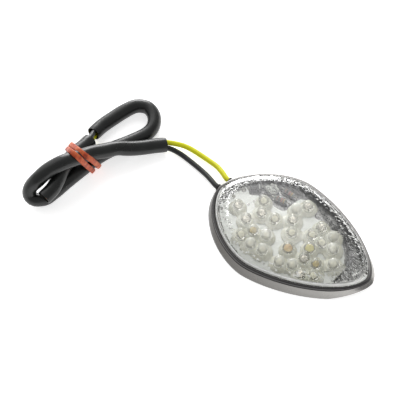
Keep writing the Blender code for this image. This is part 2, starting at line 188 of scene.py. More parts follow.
def finished(bm: bmesh.types.BMesh, name: str, looks: Sequence[bpy.types.Material],
             sharp: float = 35.0, keep_facets: bool = False) -> bpy.types.Object:
    """Turns a bmesh in millimetres to a shaded piece in metres.

    Args:
        bm: Mesh to use, which is freed.
        name: Name of the piece.
        looks: Its materials, slot by slot.
        sharp: Edges past this angle in degrees stay sharp.
        keep_facets: Whether faces that are already flat stay flat.

    Returns:
        The new object, linked to the scene.
    """
    bmesh.ops.recalc_face_normals(bm, faces=bm.faces)
    bmesh.ops.scale(bm, vec=(MM, MM, MM), verts=bm.verts)
    flat = [f.index for f in bm.faces if keep_facets and not f.smooth]
    mesh = bpy.data.meshes.new(name)
    bm.to_mesh(mesh)
    bm.free()
    mesh.shade_smooth()
    mesh.set_sharp_from_angle(angle=math.radians(sharp))
    for index in flat:
        mesh.polygons[index].use_smooth = False
    for look in looks:
        mesh.materials.append(look)
    piece = bpy.data.objects.new(name, mesh)
    bpy.context.scene.collection.objects.link(piece)
    return piece


def absorb(whole: bmesh.types.BMesh, part: bmesh.types.BMesh) -> None:
    """Moves one part into a whole mesh.

    Args:
        whole: Mesh that grows.
        part: Mesh that is added, and freed.
    """
    bmesh.ops.recalc_face_normals(part, faces=part.faces)
    mesh = bpy.data.meshes.new("part")
    part.to_mesh(mesh)
    part.free()
    whole.from_mesh(mesh)
    bpy.data.meshes.remove(mesh)


def apply_modifiers(piece: bpy.types.Object) -> bpy.types.Mesh:
    """Gives a piece the mesh that its modifiers make of it.

    Args:
        piece: Piece whose modifiers are used up.

    Returns:
        The piece's new mesh.
    """
    graph = bpy.context.evaluated_depsgraph_get()
    mesh = bpy.data.meshes.new_from_object(piece.evaluated_get(graph))
    piece.modifiers.clear()
    piece.data = mesh
    return mesh


def melted(piece: bpy.types.Object, grain_mm: float, rounds: int) -> bpy.types.Mesh:
    """Runs the lumps of a piece together, as a liquid does before it sets.

    Args:
        piece: Piece made of closed lumps that overlap.
        grain_mm: Size of the finest detail that is kept.
        rounds: How often the skin is eased.

    Returns:
        The piece's new mesh.
    """
    melt = piece.modifiers.new("melt", "REMESH")
    melt.mode = "VOXEL"
    melt.voxel_size = grain_mm * MM
    ease = piece.modifiers.new("ease", "SMOOTH")
    ease.iterations = rounds
    return apply_modifiers(piece)


def turned(profile: Sequence[tuple[float, float]], steps: int) -> bmesh.types.BMesh:
    """Solid of revolution about Z.

    Args:
        profile: Radius and height of each point, down the outer side.
        steps: Points round the axis.

    Returns:
        A bmesh in millimetres.
    """
    skin = Skin()
    for radius, z in profile:
        near = max(radius, 0.001)
        angles = (2 * math.pi * i / steps for i in range(steps))
        skin.row([Vector((near * math.cos(a), near * math.sin(a), z)) for a in angles])
    return skin.bmesh()


def rounded(points: Sequence[tuple[float, float]], cut: float = 0.15) -> list[tuple[float, float]]:
    """Profile with each inner corner cut back and eased by a third point.

    Args:
        points: Corners of an open profile.
        cut: Longest cut along each side.

    Returns:
        The eased profile, which keeps its two ends.
    """
    eased = [points[0]]
    for before, corner, after in zip(points, points[1:], points[2:]):
        here = Vector(corner)
        ways = [Vector(before) - here, Vector(after) - here]
        reach = min([cut, *(way.length * 0.45 for way in ways)])
        near = [here + way.normalized() * reach for way in ways]
        middle = (near[0] + near[1] + here * 2) / 4
        eased += [tuple(near[0]), tuple(middle), tuple(near[1])]
    return [*eased, points[-1]]


def smooth_points(points: Sequence[Vector], between: int) -> list[Vector]:
    """Catmull-Rom curve through points.

    Args:
        points: Points in order.
        between: Steps between each two of them.

    Returns:
        Points of the curve.
    """
    ends = [points[0] * 2 - points[1], *points, points[-1] * 2 - points[-2]]
    path = []
    for a, b, c, d in zip(ends, ends[1:], ends[2:], ends[3:]):
        for step in range(between):
            t = step / between
            path.append(
                0.5 * (2 * b + (c - a) * t + (2 * a - 5 * b + 4 * c - d) * t**2
                       + (3 * b - a - 3 * c + d) * t**3)
            )
    return [*path, points[-1].copy()]


def evenly(points: Sequence[Vector], spacing: float, curved: bool = True) -> list[Vector]:
    """The line through points, read at an even spacing.

    Args:
        points: Points in order.
        spacing: Distance between the points read.
        curved: Whether the line is smoothed between its points.

    Returns:
        Points along the line, with both its ends.
    """
    fine = smooth_points(points, 12) if curved else list(points)
    lengths = [0.0]
    for a, b in zip(fine, fine[1:]):
        lengths.append(lengths[-1] + (b - a).length)
    count = max(2, round(lengths[-1] / spacing))
    path, k = [], 0
    for i in range(count + 1):
        target = lengths[-1] * i / count
        while k < len(fine) - 2 and lengths[k + 1] < target:
            k += 1
        part = (target - lengths[k]) / max(1e-9, lengths[k + 1] - lengths[k])
        path.append(fine[k].lerp(fine[k + 1], min(1.0, part)))
    return path


def line_length(path: Sequence[Vector]) -> float:
    """Length of a line of points."""
    return sum((b - a).length for a, b in zip(path, path[1:]))


def frames_along(path: Sequence[Vector], first: Vector) -> list[tuple[Vector, Vector]]:
    """Two side directions at each point, carried along the path without twist.

    Args:
        path: Points of the line.
        first: Direction that the first side comes nearest to at the start.

    Returns:
        Side and second side of each point.
    """
    sides, normal = [], first
    for i in range(len(path)):
        along = (path[min(i + 1, len(path) - 1)] - path[max(i - 1, 0)]).normalized()
        normal = (normal - along * normal.dot(along)).normalized()
        sides.append((normal.copy(), along.cross(normal)))
    return sides


def tube_rings(path: Sequence[Vector], radius: float, sides: int,
               first: Vector = Vector((0, 0, 1))) -> list[Ring]:
    """Rings about a path.

    Args:
        path: Points of the centre line.
        radius: Radius of each ring.
        sides: Points in each ring.
        first: Where the ring's first point looks at the start.

    Returns:
        One ring for each point of the path.
    """
    rings = []
    angles = [2 * math.pi * i / sides for i in range(sides)]
    for centre, (side, other) in zip(path, frames_along(path, first)):
        rings.append([
            centre + (side * math.cos(a) + other * math.sin(a)) * radius for a in angles
        ])
    return rings


def rod(path: Sequence[Vector], radius: float, sides: int, first: Vector) -> bmesh.types.BMesh:
    """Round rod along a path, closed at both ends.

    Args:
        path: Points of the centre line.
        radius: Radius of the rod.
        sides: Points round it.
        first: Where the first point of each ring looks at the start.

    Returns:
        A bmesh in millimetres.
    """
    skin = Skin()
    for ring in tube_rings(path, radius, sides, first):
        skin.row(ring)
    return skin.bmesh()


def add_strip_map(piece: bpy.types.Object, path: Sequence[Vector], sides: int,
                  girth: float) -> None:
    """Gives a tube a UV map in metres: along its length and round its girth.

    Args:
        piece: Tube whose vertices run ring by ring.
        path: Its centre line, in millimetres.
        sides: Points in each ring.
        girth: Distance round it, in millimetres.
    """
    mesh = piece.data
    layer = mesh.uv_layers.new(name="strip")
    run = [0.0]
    for a, b in zip(path, path[1:]):
        run.append(run[-1] + (b - a).length)
    for polygon in mesh.polygons:
        spots = [divmod(mesh.loops[k].vertex_index, sides) for k in polygon.loop_indices]
        seam = max(i for _, i in spots) - min(i for _, i in spots) > sides / 2
        for k, (ring, i) in zip(polygon.loop_indices, spots):
            turn = (i + sides if seam and i < sides / 2 else i) / sides
            place = run[ring] if ring < len(run) else run[-1 - (ring - len(run)) % len(run)]
            layer.data[k].uv = (place * MM, turn * girth * MM)


# ---- Finishes ----


@dataclass(frozen=True)
class Finish:
    """A surface: the stuff that it is made of and how it was made."""

    name: str
    colour: str
    roughness: float
    ior: float = 1.5
    metallic: float = 0.0

    def start(self) -> tuple[bpy.types.Material, bpy.types.Node]:
        """Makes a material with a Principled shader set from the fields.

        Returns:
            The material and its shader node.
        """
        made = bpy.data.materials.new(self.name)
        made.use_nodes = True
        shader = made.node_tree.nodes["Principled BSDF"]
        shader.inputs["Base Color"].default_value = linear(self.colour)
        shader.inputs["Roughness"].default_value = self.roughness
        shader.inputs["Metallic"].default_value = self.metallic
        if not self.metallic:
            shader.inputs["IOR"].default_value = self.ior
        return made, shader

    def bump(self, tree: bpy.types.NodeTree, shader: bpy.types.Node,
             height: bpy.types.NodeSocket, depth_mm: float) -> None:
        """Links a height to the shader's normal.

        Args:
            tree: Node tree of the material.
            shader: Shader that takes the normal.
            height: Output with the height, from 0 to 1.
            depth_mm: Real height of the relief.
        """
        relief = add_node(
            tree, "ShaderNodeBump", None,
            {"Strength": 1.0, "Distance": depth_mm * MM, "Height": height},
        )
        tree.links.new(relief.outputs["Normal"], shader.inputs["Normal"])

    def vary(self, tree: bpy.types.NodeTree, source: bpy.types.NodeSocket, low: float,
             high: float) -> bpy.types.NodeSocket:
        """Maps a pattern from 0.3..0.7 to a range of values.

        Args:
            tree: Node tree of the material.
            source: Pattern.
            low: Value where the pattern is low.
            high: Value where it is high.

        Returns:
            The mapped output.
        """
        links = {"Value": source, "From Min": 0.3, "From Max": 0.7, "To Min": low, "To Max": high}
        return add_node(tree, "ShaderNodeMapRange", None, links).outputs[0]

    def tint(self, tree: bpy.types.NodeTree, factor: bpy.types.NodeSocket, one: str,
             other: str) -> bpy.types.NodeSocket:
        """Mixes two hex colours by a factor and returns the output.

        Args:
            tree: Node tree of the material.
            factor: Share of the second colour.
            one: First hex colour.
            other: Second hex colour.

        Returns:
            The mixed colour.
        """
        links = {"Factor": factor, 6: linear(one), 7: linear(other)}
        mix = add_node(tree, "ShaderNodeMix", {"data_type": "RGBA"}, links)
        return mix.outputs[2]

    def noise(self, tree: bpy.types.NodeTree, size_mm: float, detail: float = 3.0,
              stretch: Point = (1, 1, 1), on_strip: bool = False) -> bpy.types.NodeSocket:
        """Noise of a real size.

        Args:
            tree: Node tree of the material.
            size_mm: Size of its patches.
            detail: Octaves of finer noise.
            stretch: Scale along each axis.
            on_strip: Whether it lies on the strip map of a tube, not in space.

        Returns:
            The noise, from 0 to 1.
        """
        place = add_node(tree, "ShaderNodeTexCoord").outputs["UV" if on_strip else "Object"]
        mapped = add_node(tree, "ShaderNodeMapping", None, {"Vector": place, "Scale": stretch})
        links = {"Vector": mapped.outputs[0], "Scale": per_metre(size_mm), "Detail": detail}
        return add_node(tree, "ShaderNodeTexNoise", None, links).outputs["Fac"]


@dataclass(frozen=True)
class SmokePlating(Finish):
    """Vacuum-metallised ABS under a smoke lacquer: a dark mirror softened by orange peel."""

    peel_mm: float = 1.4
    peel_depth: float = 0.012
    ripple_mm: float = 6.0
    ripple_depth: float = 0.0
    # Painted reflection: a lighter colour that the plating fades to along blend_axis, over
    # blend_mm.
    painted_reflection_colour: str = ""
    # Clouds of painted reflection mixed into the colour, and their size.
    stain_and_reflection_colour: str = ""
    stain_and_reflection_mm: float = 5.0
    blend_mm: tuple[float, float] = (-28.0, 46.0)
    blend_axis: str = "X"
    scuff_mm: float = 9.0

    def make(self) -> bpy.types.Material:
        """Builds the material: the peel breaks up reflections, scuffs vary the gloss, and painted
        reflections lighten the colour along one axis or in clouds.

        Returns:
            The material.
        """
        made, shader = self.start()
        tree = made.node_tree
        peel = self.noise(tree, self.peel_mm)
        scuff = self.noise(tree, self.scuff_mm, 5.0)
        gloss = self.vary(tree, scuff, self.roughness * 0.75, self.roughness * 1.35)
        tree.links.new(gloss, shader.inputs["Roughness"])
        if self.ripple_depth:
            ripple = self.noise(tree, self.ripple_mm, 1.5, (1.0, 0.55, 1.0))
            scaled = add_node(
                tree, "ShaderNodeMath", {"operation": "MULTIPLY_ADD"},
                {0: ripple, 1: self.ripple_depth / self.peel_depth, 2: peel},
            )
            peel = scaled.outputs[0]
        self.bump(tree, shader, peel, self.peel_depth)
        # Painted reflection: lighter clouds mixed into the colour.
        if self.stain_and_reflection_colour:
            cloud = self.vary(tree, self.noise(tree, self.stain_and_reflection_mm, 5.0), 0.0, 1.0)
            tree.links.new(self.tint(tree, cloud, self.colour, self.stain_and_reflection_colour),
                           shader.inputs["Base Color"])
        # Painted reflection: the colour turns lighter along one axis.
        if self.painted_reflection_colour:
            place = add_node(tree, "ShaderNodeTexCoord").outputs["Object"]
            parts = add_node(tree, "ShaderNodeSeparateXYZ", None, {"Vector": place}).outputs
            along = parts[self.blend_axis]
            low, high = (x * MM for x in self.blend_mm)
            share = add_node(tree, "ShaderNodeMapRange", None,
                             {"Value": along, "From Min": low, "From Max": high}).outputs[0]
            tree.links.new(self.tint(tree, share, self.colour, self.painted_reflection_colour),
                           shader.inputs["Base Color"])
        return made


@dataclass(frozen=True)
class ClearCast(Finish):
    """Clear moulded or cast plastic: light from lamps passes it, so what is inside is lit."""

    clearness: float = 1.0
    pass_through: str = "#f4f5f3"
    wave_mm: float = 5.0
    wave_depth: float = 0.0

    def make(self) -> bpy.types.Material:
        """Builds glass for what is seen and a clear pane for the rays that light what is inside.

        Returns:
            The material.
        """
        made, shader = self.start()
        tree = made.node_tree
        shader.inputs["Transmission Weight"].default_value = self.clearness
        if self.wave_depth:
            self.bump(tree, shader, self.noise(tree, self.wave_mm, 2.0), self.wave_depth)
        pane = add_node(tree, "ShaderNodeBsdfTransparent", None,
                        {"Color": linear(self.pass_through)})
        rays = add_node(tree, "ShaderNodeLightPath").outputs
        passing = add_node(tree, "ShaderNodeMath", {"operation": "MAXIMUM"},
                           {0: rays["Is Shadow Ray"], 1: rays["Is Diffuse Ray"]})
        mix = add_node(
            tree, "ShaderNodeMixShader", None,
            {0: passing.outputs[0], 1: shader.outputs[0], 2: pane.outputs[0]},
        )
        tree.links.new(mix.outputs[0], tree.nodes["Material Output"].inputs["Surface"])
        return made


@dataclass(frozen=True)
class SolderMask(Finish):
    """White screen-printed solder mask on woven glass laminate: glossy, with a faint weave."""

    weave_mm: float = 0.9
    weave_depth: float = 0.012
    scale_per_band: float = 6.28
    stain_and_reflection_colour: str = "#e2e3df"
    stain_and_reflection_mm: float = 8.0

    def make(self) -> bpy.types.Material:
        """Builds the mask; the glass weave is drawn twice as coarse as real so that it shows.

        Returns:
            The material.
        """
        made, shader = self.start()
        tree = made.node_tree
        shader.inputs["Coat Weight"].default_value = 0.35
        shader.inputs["Coat Roughness"].default_value = 0.12
        place = add_node(tree, "ShaderNodeTexCoord").outputs["Object"]
        scale = per_metre(self.weave_mm) / self.scale_per_band
        waves = [
            add_node(tree, "ShaderNodeTexWave", {"bands_direction": way},
                     {"Vector": place, "Scale": scale}).outputs["Fac"]
            for way in ("X", "Y")
        ]
        weave = add_node(tree, "ShaderNodeMath", {"operation": "MAXIMUM"}, dict(enumerate(waves)))
        self.bump(tree, shader, weave.outputs[0], self.weave_depth)
        cloud = self.noise(tree, self.stain_and_reflection_mm)
        tree.links.new(self.tint(tree, cloud, self.colour, self.stain_and_reflection_colour),
                       shader.inputs["Base Color"])
        return made


@dataclass(frozen=True)
class PouredResin(Finish):
    """Poured potting resin: milky, glossy where it wets the parts, and uneven in depth."""

    deep: str = "#bdb9a6"
    patch_mm: float = 3.2
    dimple_mm: float = 1.6
    dimple_depth: float = 0.10

    def make(self) -> bpy.types.Material:
        """Builds the resin with patches of clearer and milkier stuff.

        Returns:
            The material.
        """
        made, shader = self.start()
        tree = made.node_tree
        shader.inputs["Subsurface Weight"].default_value = 0.25
        shader.inputs["Subsurface Radius"].default_value = (1.2, 1.1, 0.9)
        shader.inputs["Subsurface Scale"].default_value = MM
        patch = self.vary(tree, self.noise(tree, self.patch_mm, 4.0), 0.0, 1.0)
        tree.links.new(self.tint(tree, patch, self.colour, self.deep), shader.inputs["Base Color"])
        self.bump(tree, shader, self.noise(tree, self.dimple_mm, 2.0), self.dimple_depth)
        return made


@dataclass(frozen=True)
class ExtrudedPvc(Finish):
    """Extruded flexible PVC: satin, with fine die lines along it and handling marks."""

    worn_and_lit_wall_colour: str = "#191b1a"
    line_mm: float = 0.7
    line_depth: float = 0.015
    mark_mm: float = 7.0

    def make(self) -> bpy.types.Material:
        """Builds the plastic; die lines run along the strip map of the tube.

        Returns:
            The material.
        """
        made, shader = self.start()
        tree = made.node_tree
        lines = self.noise(tree, self.line_mm, 2.0, (0.03, 1, 1), on_strip=True)
        handling = self.noise(tree, self.mark_mm, 5.0)
        tree.links.new(
            self.vary(tree, handling, self.roughness * 0.8, self.roughness * 1.25),
            shader.inputs["Roughness"],
        )
        marks = self.vary(tree, handling, 0.0, 1.0)
        tree.links.new(self.tint(tree, marks, self.colour, self.worn_and_lit_wall_colour), shader.inputs["Base Color"])
        self.bump(tree, shader, lines, self.line_depth)
        return made


@dataclass(frozen=True)
class CutRubber(Finish):
    """Natural rubber band, calendered and slit: matt, with pale bloom in worn patches."""

    bloom: str = "#cb6a3c"
    dark: str = "#8e3416"
    patch_mm: float = 3.0
    grain_mm: float = 0.5
    grain_depth: float = 0.06

    def make(self) -> bpy.types.Material:
        """Builds the rubber: darker in some random patches, paler where the bloom has come out.

        Returns:
            The material.
        """
        made, shader = self.start()
        tree = made.node_tree
        patches = self.noise(tree, self.patch_mm, 3.0)
        ramp = add_node(tree, "ShaderNodeValToRGB", None, {"Fac": patches})
        set_ramp(ramp, ((0.34, self.dark), (0.48, self.colour), (0.66, self.bloom)))
        tree.links.new(ramp.outputs["Color"], shader.inputs["Base Color"])
        self.bump(tree, shader, self.noise(tree, self.grain_mm, 3.0), self.grain_depth)
        return made


@dataclass(frozen=True)
class DullMetal(Finish):
    """Tinned or bare soft metal: satin, dulled in patches by flux and handling."""

    dull: str = "#8d8b86"
    metallic: float = 1.0
    film_mm: float = 1.2

    def make(self) -> bpy.types.Material:
        """Builds the metal with a patchy dulling.

        Returns:
            The material.
        """
        made, shader = self.start()
        tree = made.node_tree
        film = self.noise(tree, self.film_mm, 4.0)
        tree.links.new(self.tint(tree, film, self.colour, self.dull), shader.inputs["Base Color"])
        tree.links.new(
            self.vary(tree, film, self.roughness * 0.7, self.roughness * 1.4),
            shader.inputs["Roughness"],
        )
        return made


@dataclass(frozen=True)
class DippedCoat(Finish):
    """Dipped or moulded component coat, with printed bands along its own length."""

    bands: tuple[tuple[float, str], ...] = ()
    half_mm: float = 3.0
    skin_mm: float = 0.8
    skin_depth: float = 0.02

    def make(self) -> bpy.types.Material:
        """Builds the coat; the bands follow the component's local length.

        Returns:
            The material.
        """
        made, shader = self.start()
        tree = made.node_tree
        place = add_node(tree, "ShaderNodeTexCoord").outputs["Object"]
        along = add_node(tree, "ShaderNodeSeparateXYZ", None, {"Vector": place}).outputs["Z"]
        reach = self.half_mm * MM
        share = add_node(tree, "ShaderNodeMapRange", None,
                         {"Value": along, "From Min": -reach, "From Max": reach}).outputs[0]
        ramp = add_node(tree, "ShaderNodeValToRGB", None, {"Fac": share})
        ramp.color_ramp.interpolation = "CONSTANT"
        set_ramp(ramp, ((0.0, self.colour), *self.bands))
        tree.links.new(ramp.outputs["Color"], shader.inputs["Base Color"])
        self.bump(tree, shader, self.noise(tree, self.skin_mm), self.skin_depth)
        return made


@dataclass(frozen=True)
class ClosedCellFoam(Finish):
    """Closed-cell PE foam tape, cut from a sheet: matt, with small cells on every face."""

    cell_mm: float = 0.6
    cell_depth: float = 0.15
    worn_and_lit_wall_colour: str = "#45474a"

    def make(self) -> bpy.types.Material:
        """Builds the foam from rounded cells, with painted shade in their pits.

        Returns:
            The material.
        """
        made, shader = self.start()
        tree = made.node_tree
        place = add_node(tree, "ShaderNodeTexCoord").outputs["Object"]
        cells = add_node(tree, "ShaderNodeTexVoronoi", None,
                         {"Vector": place, "Scale": per_metre(self.cell_mm)}).outputs["Distance"]
        # Painted shade: each cell is darker in its pit than on its walls.
        tree.links.new(self.tint(tree, cells, self.colour, self.worn_and_lit_wall_colour),
                       shader.inputs["Base Color"])
        self.bump(tree, shader, cells, self.cell_depth)
        return made


@dataclass(frozen=True)
class OpalTable(Finish):
    """Opal acrylic sheet lit from below, with a sanded face: nearly no shadow falls on it."""

    glow: float = 0.62
    sanding_mm: float = 2.0
    sanding_depth: float = 0.02

    def make(self) -> bpy.types.Material:
        """Builds the sheet with its own even light.

        Returns:
            The material.
        """
        made, shader = self.start()
        tree = made.node_tree
        shader.inputs["Emission Color"].default_value = linear("#ffffff")
        shader.inputs["Emission Strength"].default_value = self.glow
        self.bump(tree, shader, self.noise(tree, self.sanding_mm), self.sanding_depth)
        return made


class Stuff(Enum):
    """The finishes of this lamp."""

    # Vacuum-plated ABS under smoke lacquer: a dark soft mirror, made lighter towards the tip by a
    # painted reflection.
    PLATING = SmokePlating("smoke_plated_abs", "#484643", 0.24, metallic=1.0,
                           painted_reflection_colour="#acaaa7")
    # The same plating on the narrow rim: near black in front, turned grey along the far side by a
    # painted reflection.
    RIM = SmokePlating("smoke_plated_rim", "#4a4949", 0.22, metallic=1.0,
                       painted_reflection_colour="#aeacaa", blend_mm=(-2.0, 14.0), blend_axis="Y")
    # Plated tray floor, rippled by the mould: a dark mirror broken into lighter clouds of painted
    # reflection.
    REFLECTOR = SmokePlating("reflector_plating", "#2d2d2c", 0.17, metallic=1.0, peel_mm=2.2,
                             ripple_depth=0.6, ripple_mm=5.5, stain_and_reflection_colour="#767674", stain_and_reflection_mm=4.0)
    # Plated inner wall with fine flutes: short glints where it faces the light.
    FLUTED = SmokePlating("fluted_reflector_wall", "#4e4e4d", 0.10, metallic=1.0, peel_mm=0.7,
                          peel_depth=0.05, ripple_depth=0.9, ripple_mm=1.7)
    # Moulded polycarbonate: clear and glossy, with a faint flow wave.
    LENS = ClearCast("clear_polycarbonate_moulding", "#ffffff", 0.02, 1.58, wave_depth=0.03)
    # The same plastic, frosted at its edge: its pale faces are a painted highlight along the near
    # edge and painted glints along the far side and among the prisms.
    LENS_EDGE = ClearCast("polycarbonate_edge_painted_glints", "#f4f4f2", 0.35, 1.58, clearness=0.3)
    # Cast clear epoxy of the LEDs: bright rims and a gel seen through a dome.
    EPOXY = ClearCast("clear_led_epoxy", "#f8f7ef", 0.05, 1.53, clearness=0.84)
    # Cast diffusing epoxy: a pale dome that hides most of its frame.
    EPOXY_MILKY = ClearCast("diffused_led_epoxy", "#f7f6ef", 0.16, 1.53, clearness=0.55)
    # Hot-melt glue: clear, lumpy and wet-looking.
    GLUE = ClearCast("clear_glue_bead", "#dcdcd8", 0.05, 1.48, clearness=0.8, wave_depth=0.1,
                     wave_mm=2.0)
    # Air caught in the glue: small bright beads.
    AIR = ClearCast("trapped_air", "#f6f6f4", 0.05, 1.2, clearness=0.25)
    # Neutral-cure sealant: a grey, half-clear line under the lens.
    SEALANT = ClearCast("lens_sealant", "#b4b4b0", 0.3, 1.42, clearness=0.6)
    # Screen-printed solder mask: clean white with a faint weave.
    MASK = SolderMask("white_solder_mask", "#edeeea", 0.32)
    # Sawn edge of the glass laminate: dull yellow-green.
    LAMINATE = DippedCoat("glass_epoxy_laminate", "#c9c6a4", 0.6)
    # Poured resin: milky, with a wet gloss on its rounded collars.
    RESIN = PouredResin("milky_potting_resin", "#e4e2d8", 0.22, deep="#cdcbbc")
    # Extruded PVC sleeving: satin black with a soft streak of light along it.
    SLEEVE = ExtrudedPvc("black_pvc_sleeving", "#0f1110", 0.31)
    # Inside of the sleeving: black and almost without gloss.
    BORE = ExtrudedPvc("sleeve_bore", "#0c0d0d", 0.6, worn_and_lit_wall_colour="#101111")
    # Extruded PVC insulation: satin black with fine lines along it.
    BLACK_WIRE = ExtrudedPvc("black_pvc_insulation", "#101211", 0.36, line_mm=0.4)
    # The same in strong yellow.
    YELLOW_WIRE = ExtrudedPvc("yellow_pvc_insulation", "#dada00", 0.42, worn_and_lit_wall_colour="#cfcd00", line_mm=0.4)
    # Moulded soft rubber: matt black.
    BUSH = ExtrudedPvc("black_rubber_bush", "#151615", 0.6, worn_and_lit_wall_colour="#1d1e1d")
    # Slit natural rubber: matt orange-red with pale worn patches.
    TIE = CutRubber("red_rubber_band", "#b84a22", 0.5)
    # Lead-free solder: bright grey, dulled by flux.
    SOLDER = DullMetal("lead_free_solder", "#c9c8c4", 0.22)
    # Tinned steel: soft silver posts and leads.
    TINNED = DullMetal("tinned_steel_frame", "#b5b1a8", 0.3)
    # Bare copper strands: warm and slightly dull.
    COPPER = DullMetal("bare_copper_strand", "#c98a5e", 0.3, dull="#9d6a48")
    # Dipped resistor lacquer: grey with four colour bands.
    RESISTOR = DippedCoat("dipped_resistor_lacquer", "#6f716d", 0.35, bands=(
        (0.2, "#7a3b16"), (0.27, "#6f716d"), (0.38, "#26221f"), (0.45, "#6f716d"),
        (0.56, "#a8321f"), (0.63, "#6f716d"), (0.76, "#b08a3c"), (0.83, "#6f716d"),
    ))
    # Moulded black epoxy with one printed silver band.
    DIODE = DippedCoat("black_moulded_epoxy", "#1b1b1d", 0.4, bands=(
        (0.74, "#b9b9b7"), (0.86, "#1b1b1d"),
    ), half_mm=2.6)
    # Gel filled with yellow phosphor: a pale yellow disc under the dome.
    GEL_YELLOW = PouredResin("yellow_phosphor_gel", "#ebe2a4", 0.3, deep="#d6c56a")
    # Gel filled with amber phosphor: a warm, slightly patchy disc.
    GEL_ORANGE = PouredResin("amber_phosphor_gel", "#e6d2a0", 0.3, deep="#c98f4c")
    # Gel of a darker lot: an ochre disc.
    GEL_OCHRE = PouredResin("ochre_phosphor_gel", "#cbb468", 0.3, deep="#8d7430")
    # Nearly clear gel: an off-white disc.
    GEL_PALE = PouredResin("pale_phosphor_gel", "#e9e4d2", 0.3, deep="#cfc8ae")
    # Closed-cell foam tape: matt charcoal with fine pores, painted darker in their pits as shade.
    FOAM = ClosedCellFoam("pe_foam_tape", "#2b2c2e", 0.9)
    # Opal sheet lit from below: an even pale ground.
    LIGHT_TABLE = OpalTable("opal_light_table", "#f4f4f4", 0.9)

    def look(self) -> bpy.types.Material:
        """The finish's material, made once."""
        return bpy.data.materials.get(self.value.name) or self.value.make()


# ---- The lamp's outline ----


@dataclass(frozen=True)
class Leaf:
    """Leaf outline of the lamp: two power curves that meet at its widest place."""

    widest_x: float = -8.0
    back: float = 32.4
    front: float = 48.4
    half: float = 26.4
    back_power: float = 1.70
    front_power: float = 1.64
    rim_z: float = 6.5
    crease_x: float = 29.7
    tip_slope: float = 4.5 / 12.3

    def angle(self, step: int, count: int) -> float:
        """Angle of one of count points, which crowd together at the two ends."""
        even = 2 * math.pi * step / count
        return even - 0.2 * math.sin(2 * even)

    def reach(self, ahead: bool) -> tuple[float, float]:
        """Length and power of the curve ahead of the widest place, or behind it."""
        return (self.front, self.front_power) if ahead else (self.back, self.back_power)

    def point(self, angle: float, inset: float = 0.0, share: float = 1.0) -> tuple[float, float]:
        """Point of the outline.

        Args:
            angle: Angle about the widest place, in radians.
            inset: How far the outline is pulled in.
            share: Scale about the widest place.

        Returns:
            Its x and y.
        """
        across, up = math.cos(angle), math.sin(angle)
        length, power = self.reach(across > 0)
        radius = (abs(across) ** power + abs(up) ** power) ** (-1 / power)
        x = self.widest_x + (length - inset) * share * radius * across
        return x, (self.half - inset) * share * radius * up

    def ring(self, z: float, inset: float = 0.0, share: float = 1.0, count: int = 240) -> Ring:
        """The outline as a ring of points at height z."""
        spots = (self.point(self.angle(i, count), inset, share) for i in range(count))
        return [Vector((x, y, z)) for x, y in spots]

    def share_at(self, x: float, y: float, inset: float) -> float:
        """How far out a place is: 1 on the outline, less inside it.

        Args:
            x: Place along the lamp.
            y: Place across it.
            inset: How far the outline is pulled in.

        Returns:
            The share of the outline.
        """
        length, power = self.reach(x > self.widest_x)
        across = abs(x - self.widest_x) / (length - inset)
        return (across**power + (abs(y) / (self.half - inset)) ** power) ** (1 / power)

    def lift_tip(self, bm: bmesh.types.BMesh) -> None:
        """Splits a mesh at the crease and lifts what is under the rim beyond it.

        Args:
            bm: Mesh in millimetres, changed in place.
        """
        everything = bm.verts[:] + bm.edges[:] + bm.faces[:]
        bmesh.ops.bisect_plane(
            bm, geom=everything, plane_co=(self.crease_x, 0, 0), plane_no=(1, 0, 0)
        )
        for vert in bm.verts:
            below = max(0.0, self.rim_z - vert.co.z) / self.rim_z
            vert.co.z += max(0.0, vert.co.x - self.crease_x) * self.tip_slope * below


LEAF = Leaf()


# ---- Studio ----


# Name, place in metres, side in metres, power in watts, and whether gloss mirrors it.
SOFTBOXES = (
    ("key_softbox", (-0.30, 0.42, 0.60), 0.40, 1.0, False),
    ("fill_softbox", (0.55, -0.30, 0.35), 0.50, 0.8, False),
    ("side_softbox", (-0.467, 0.496, 0.184), 0.34, 2.8, True),
)


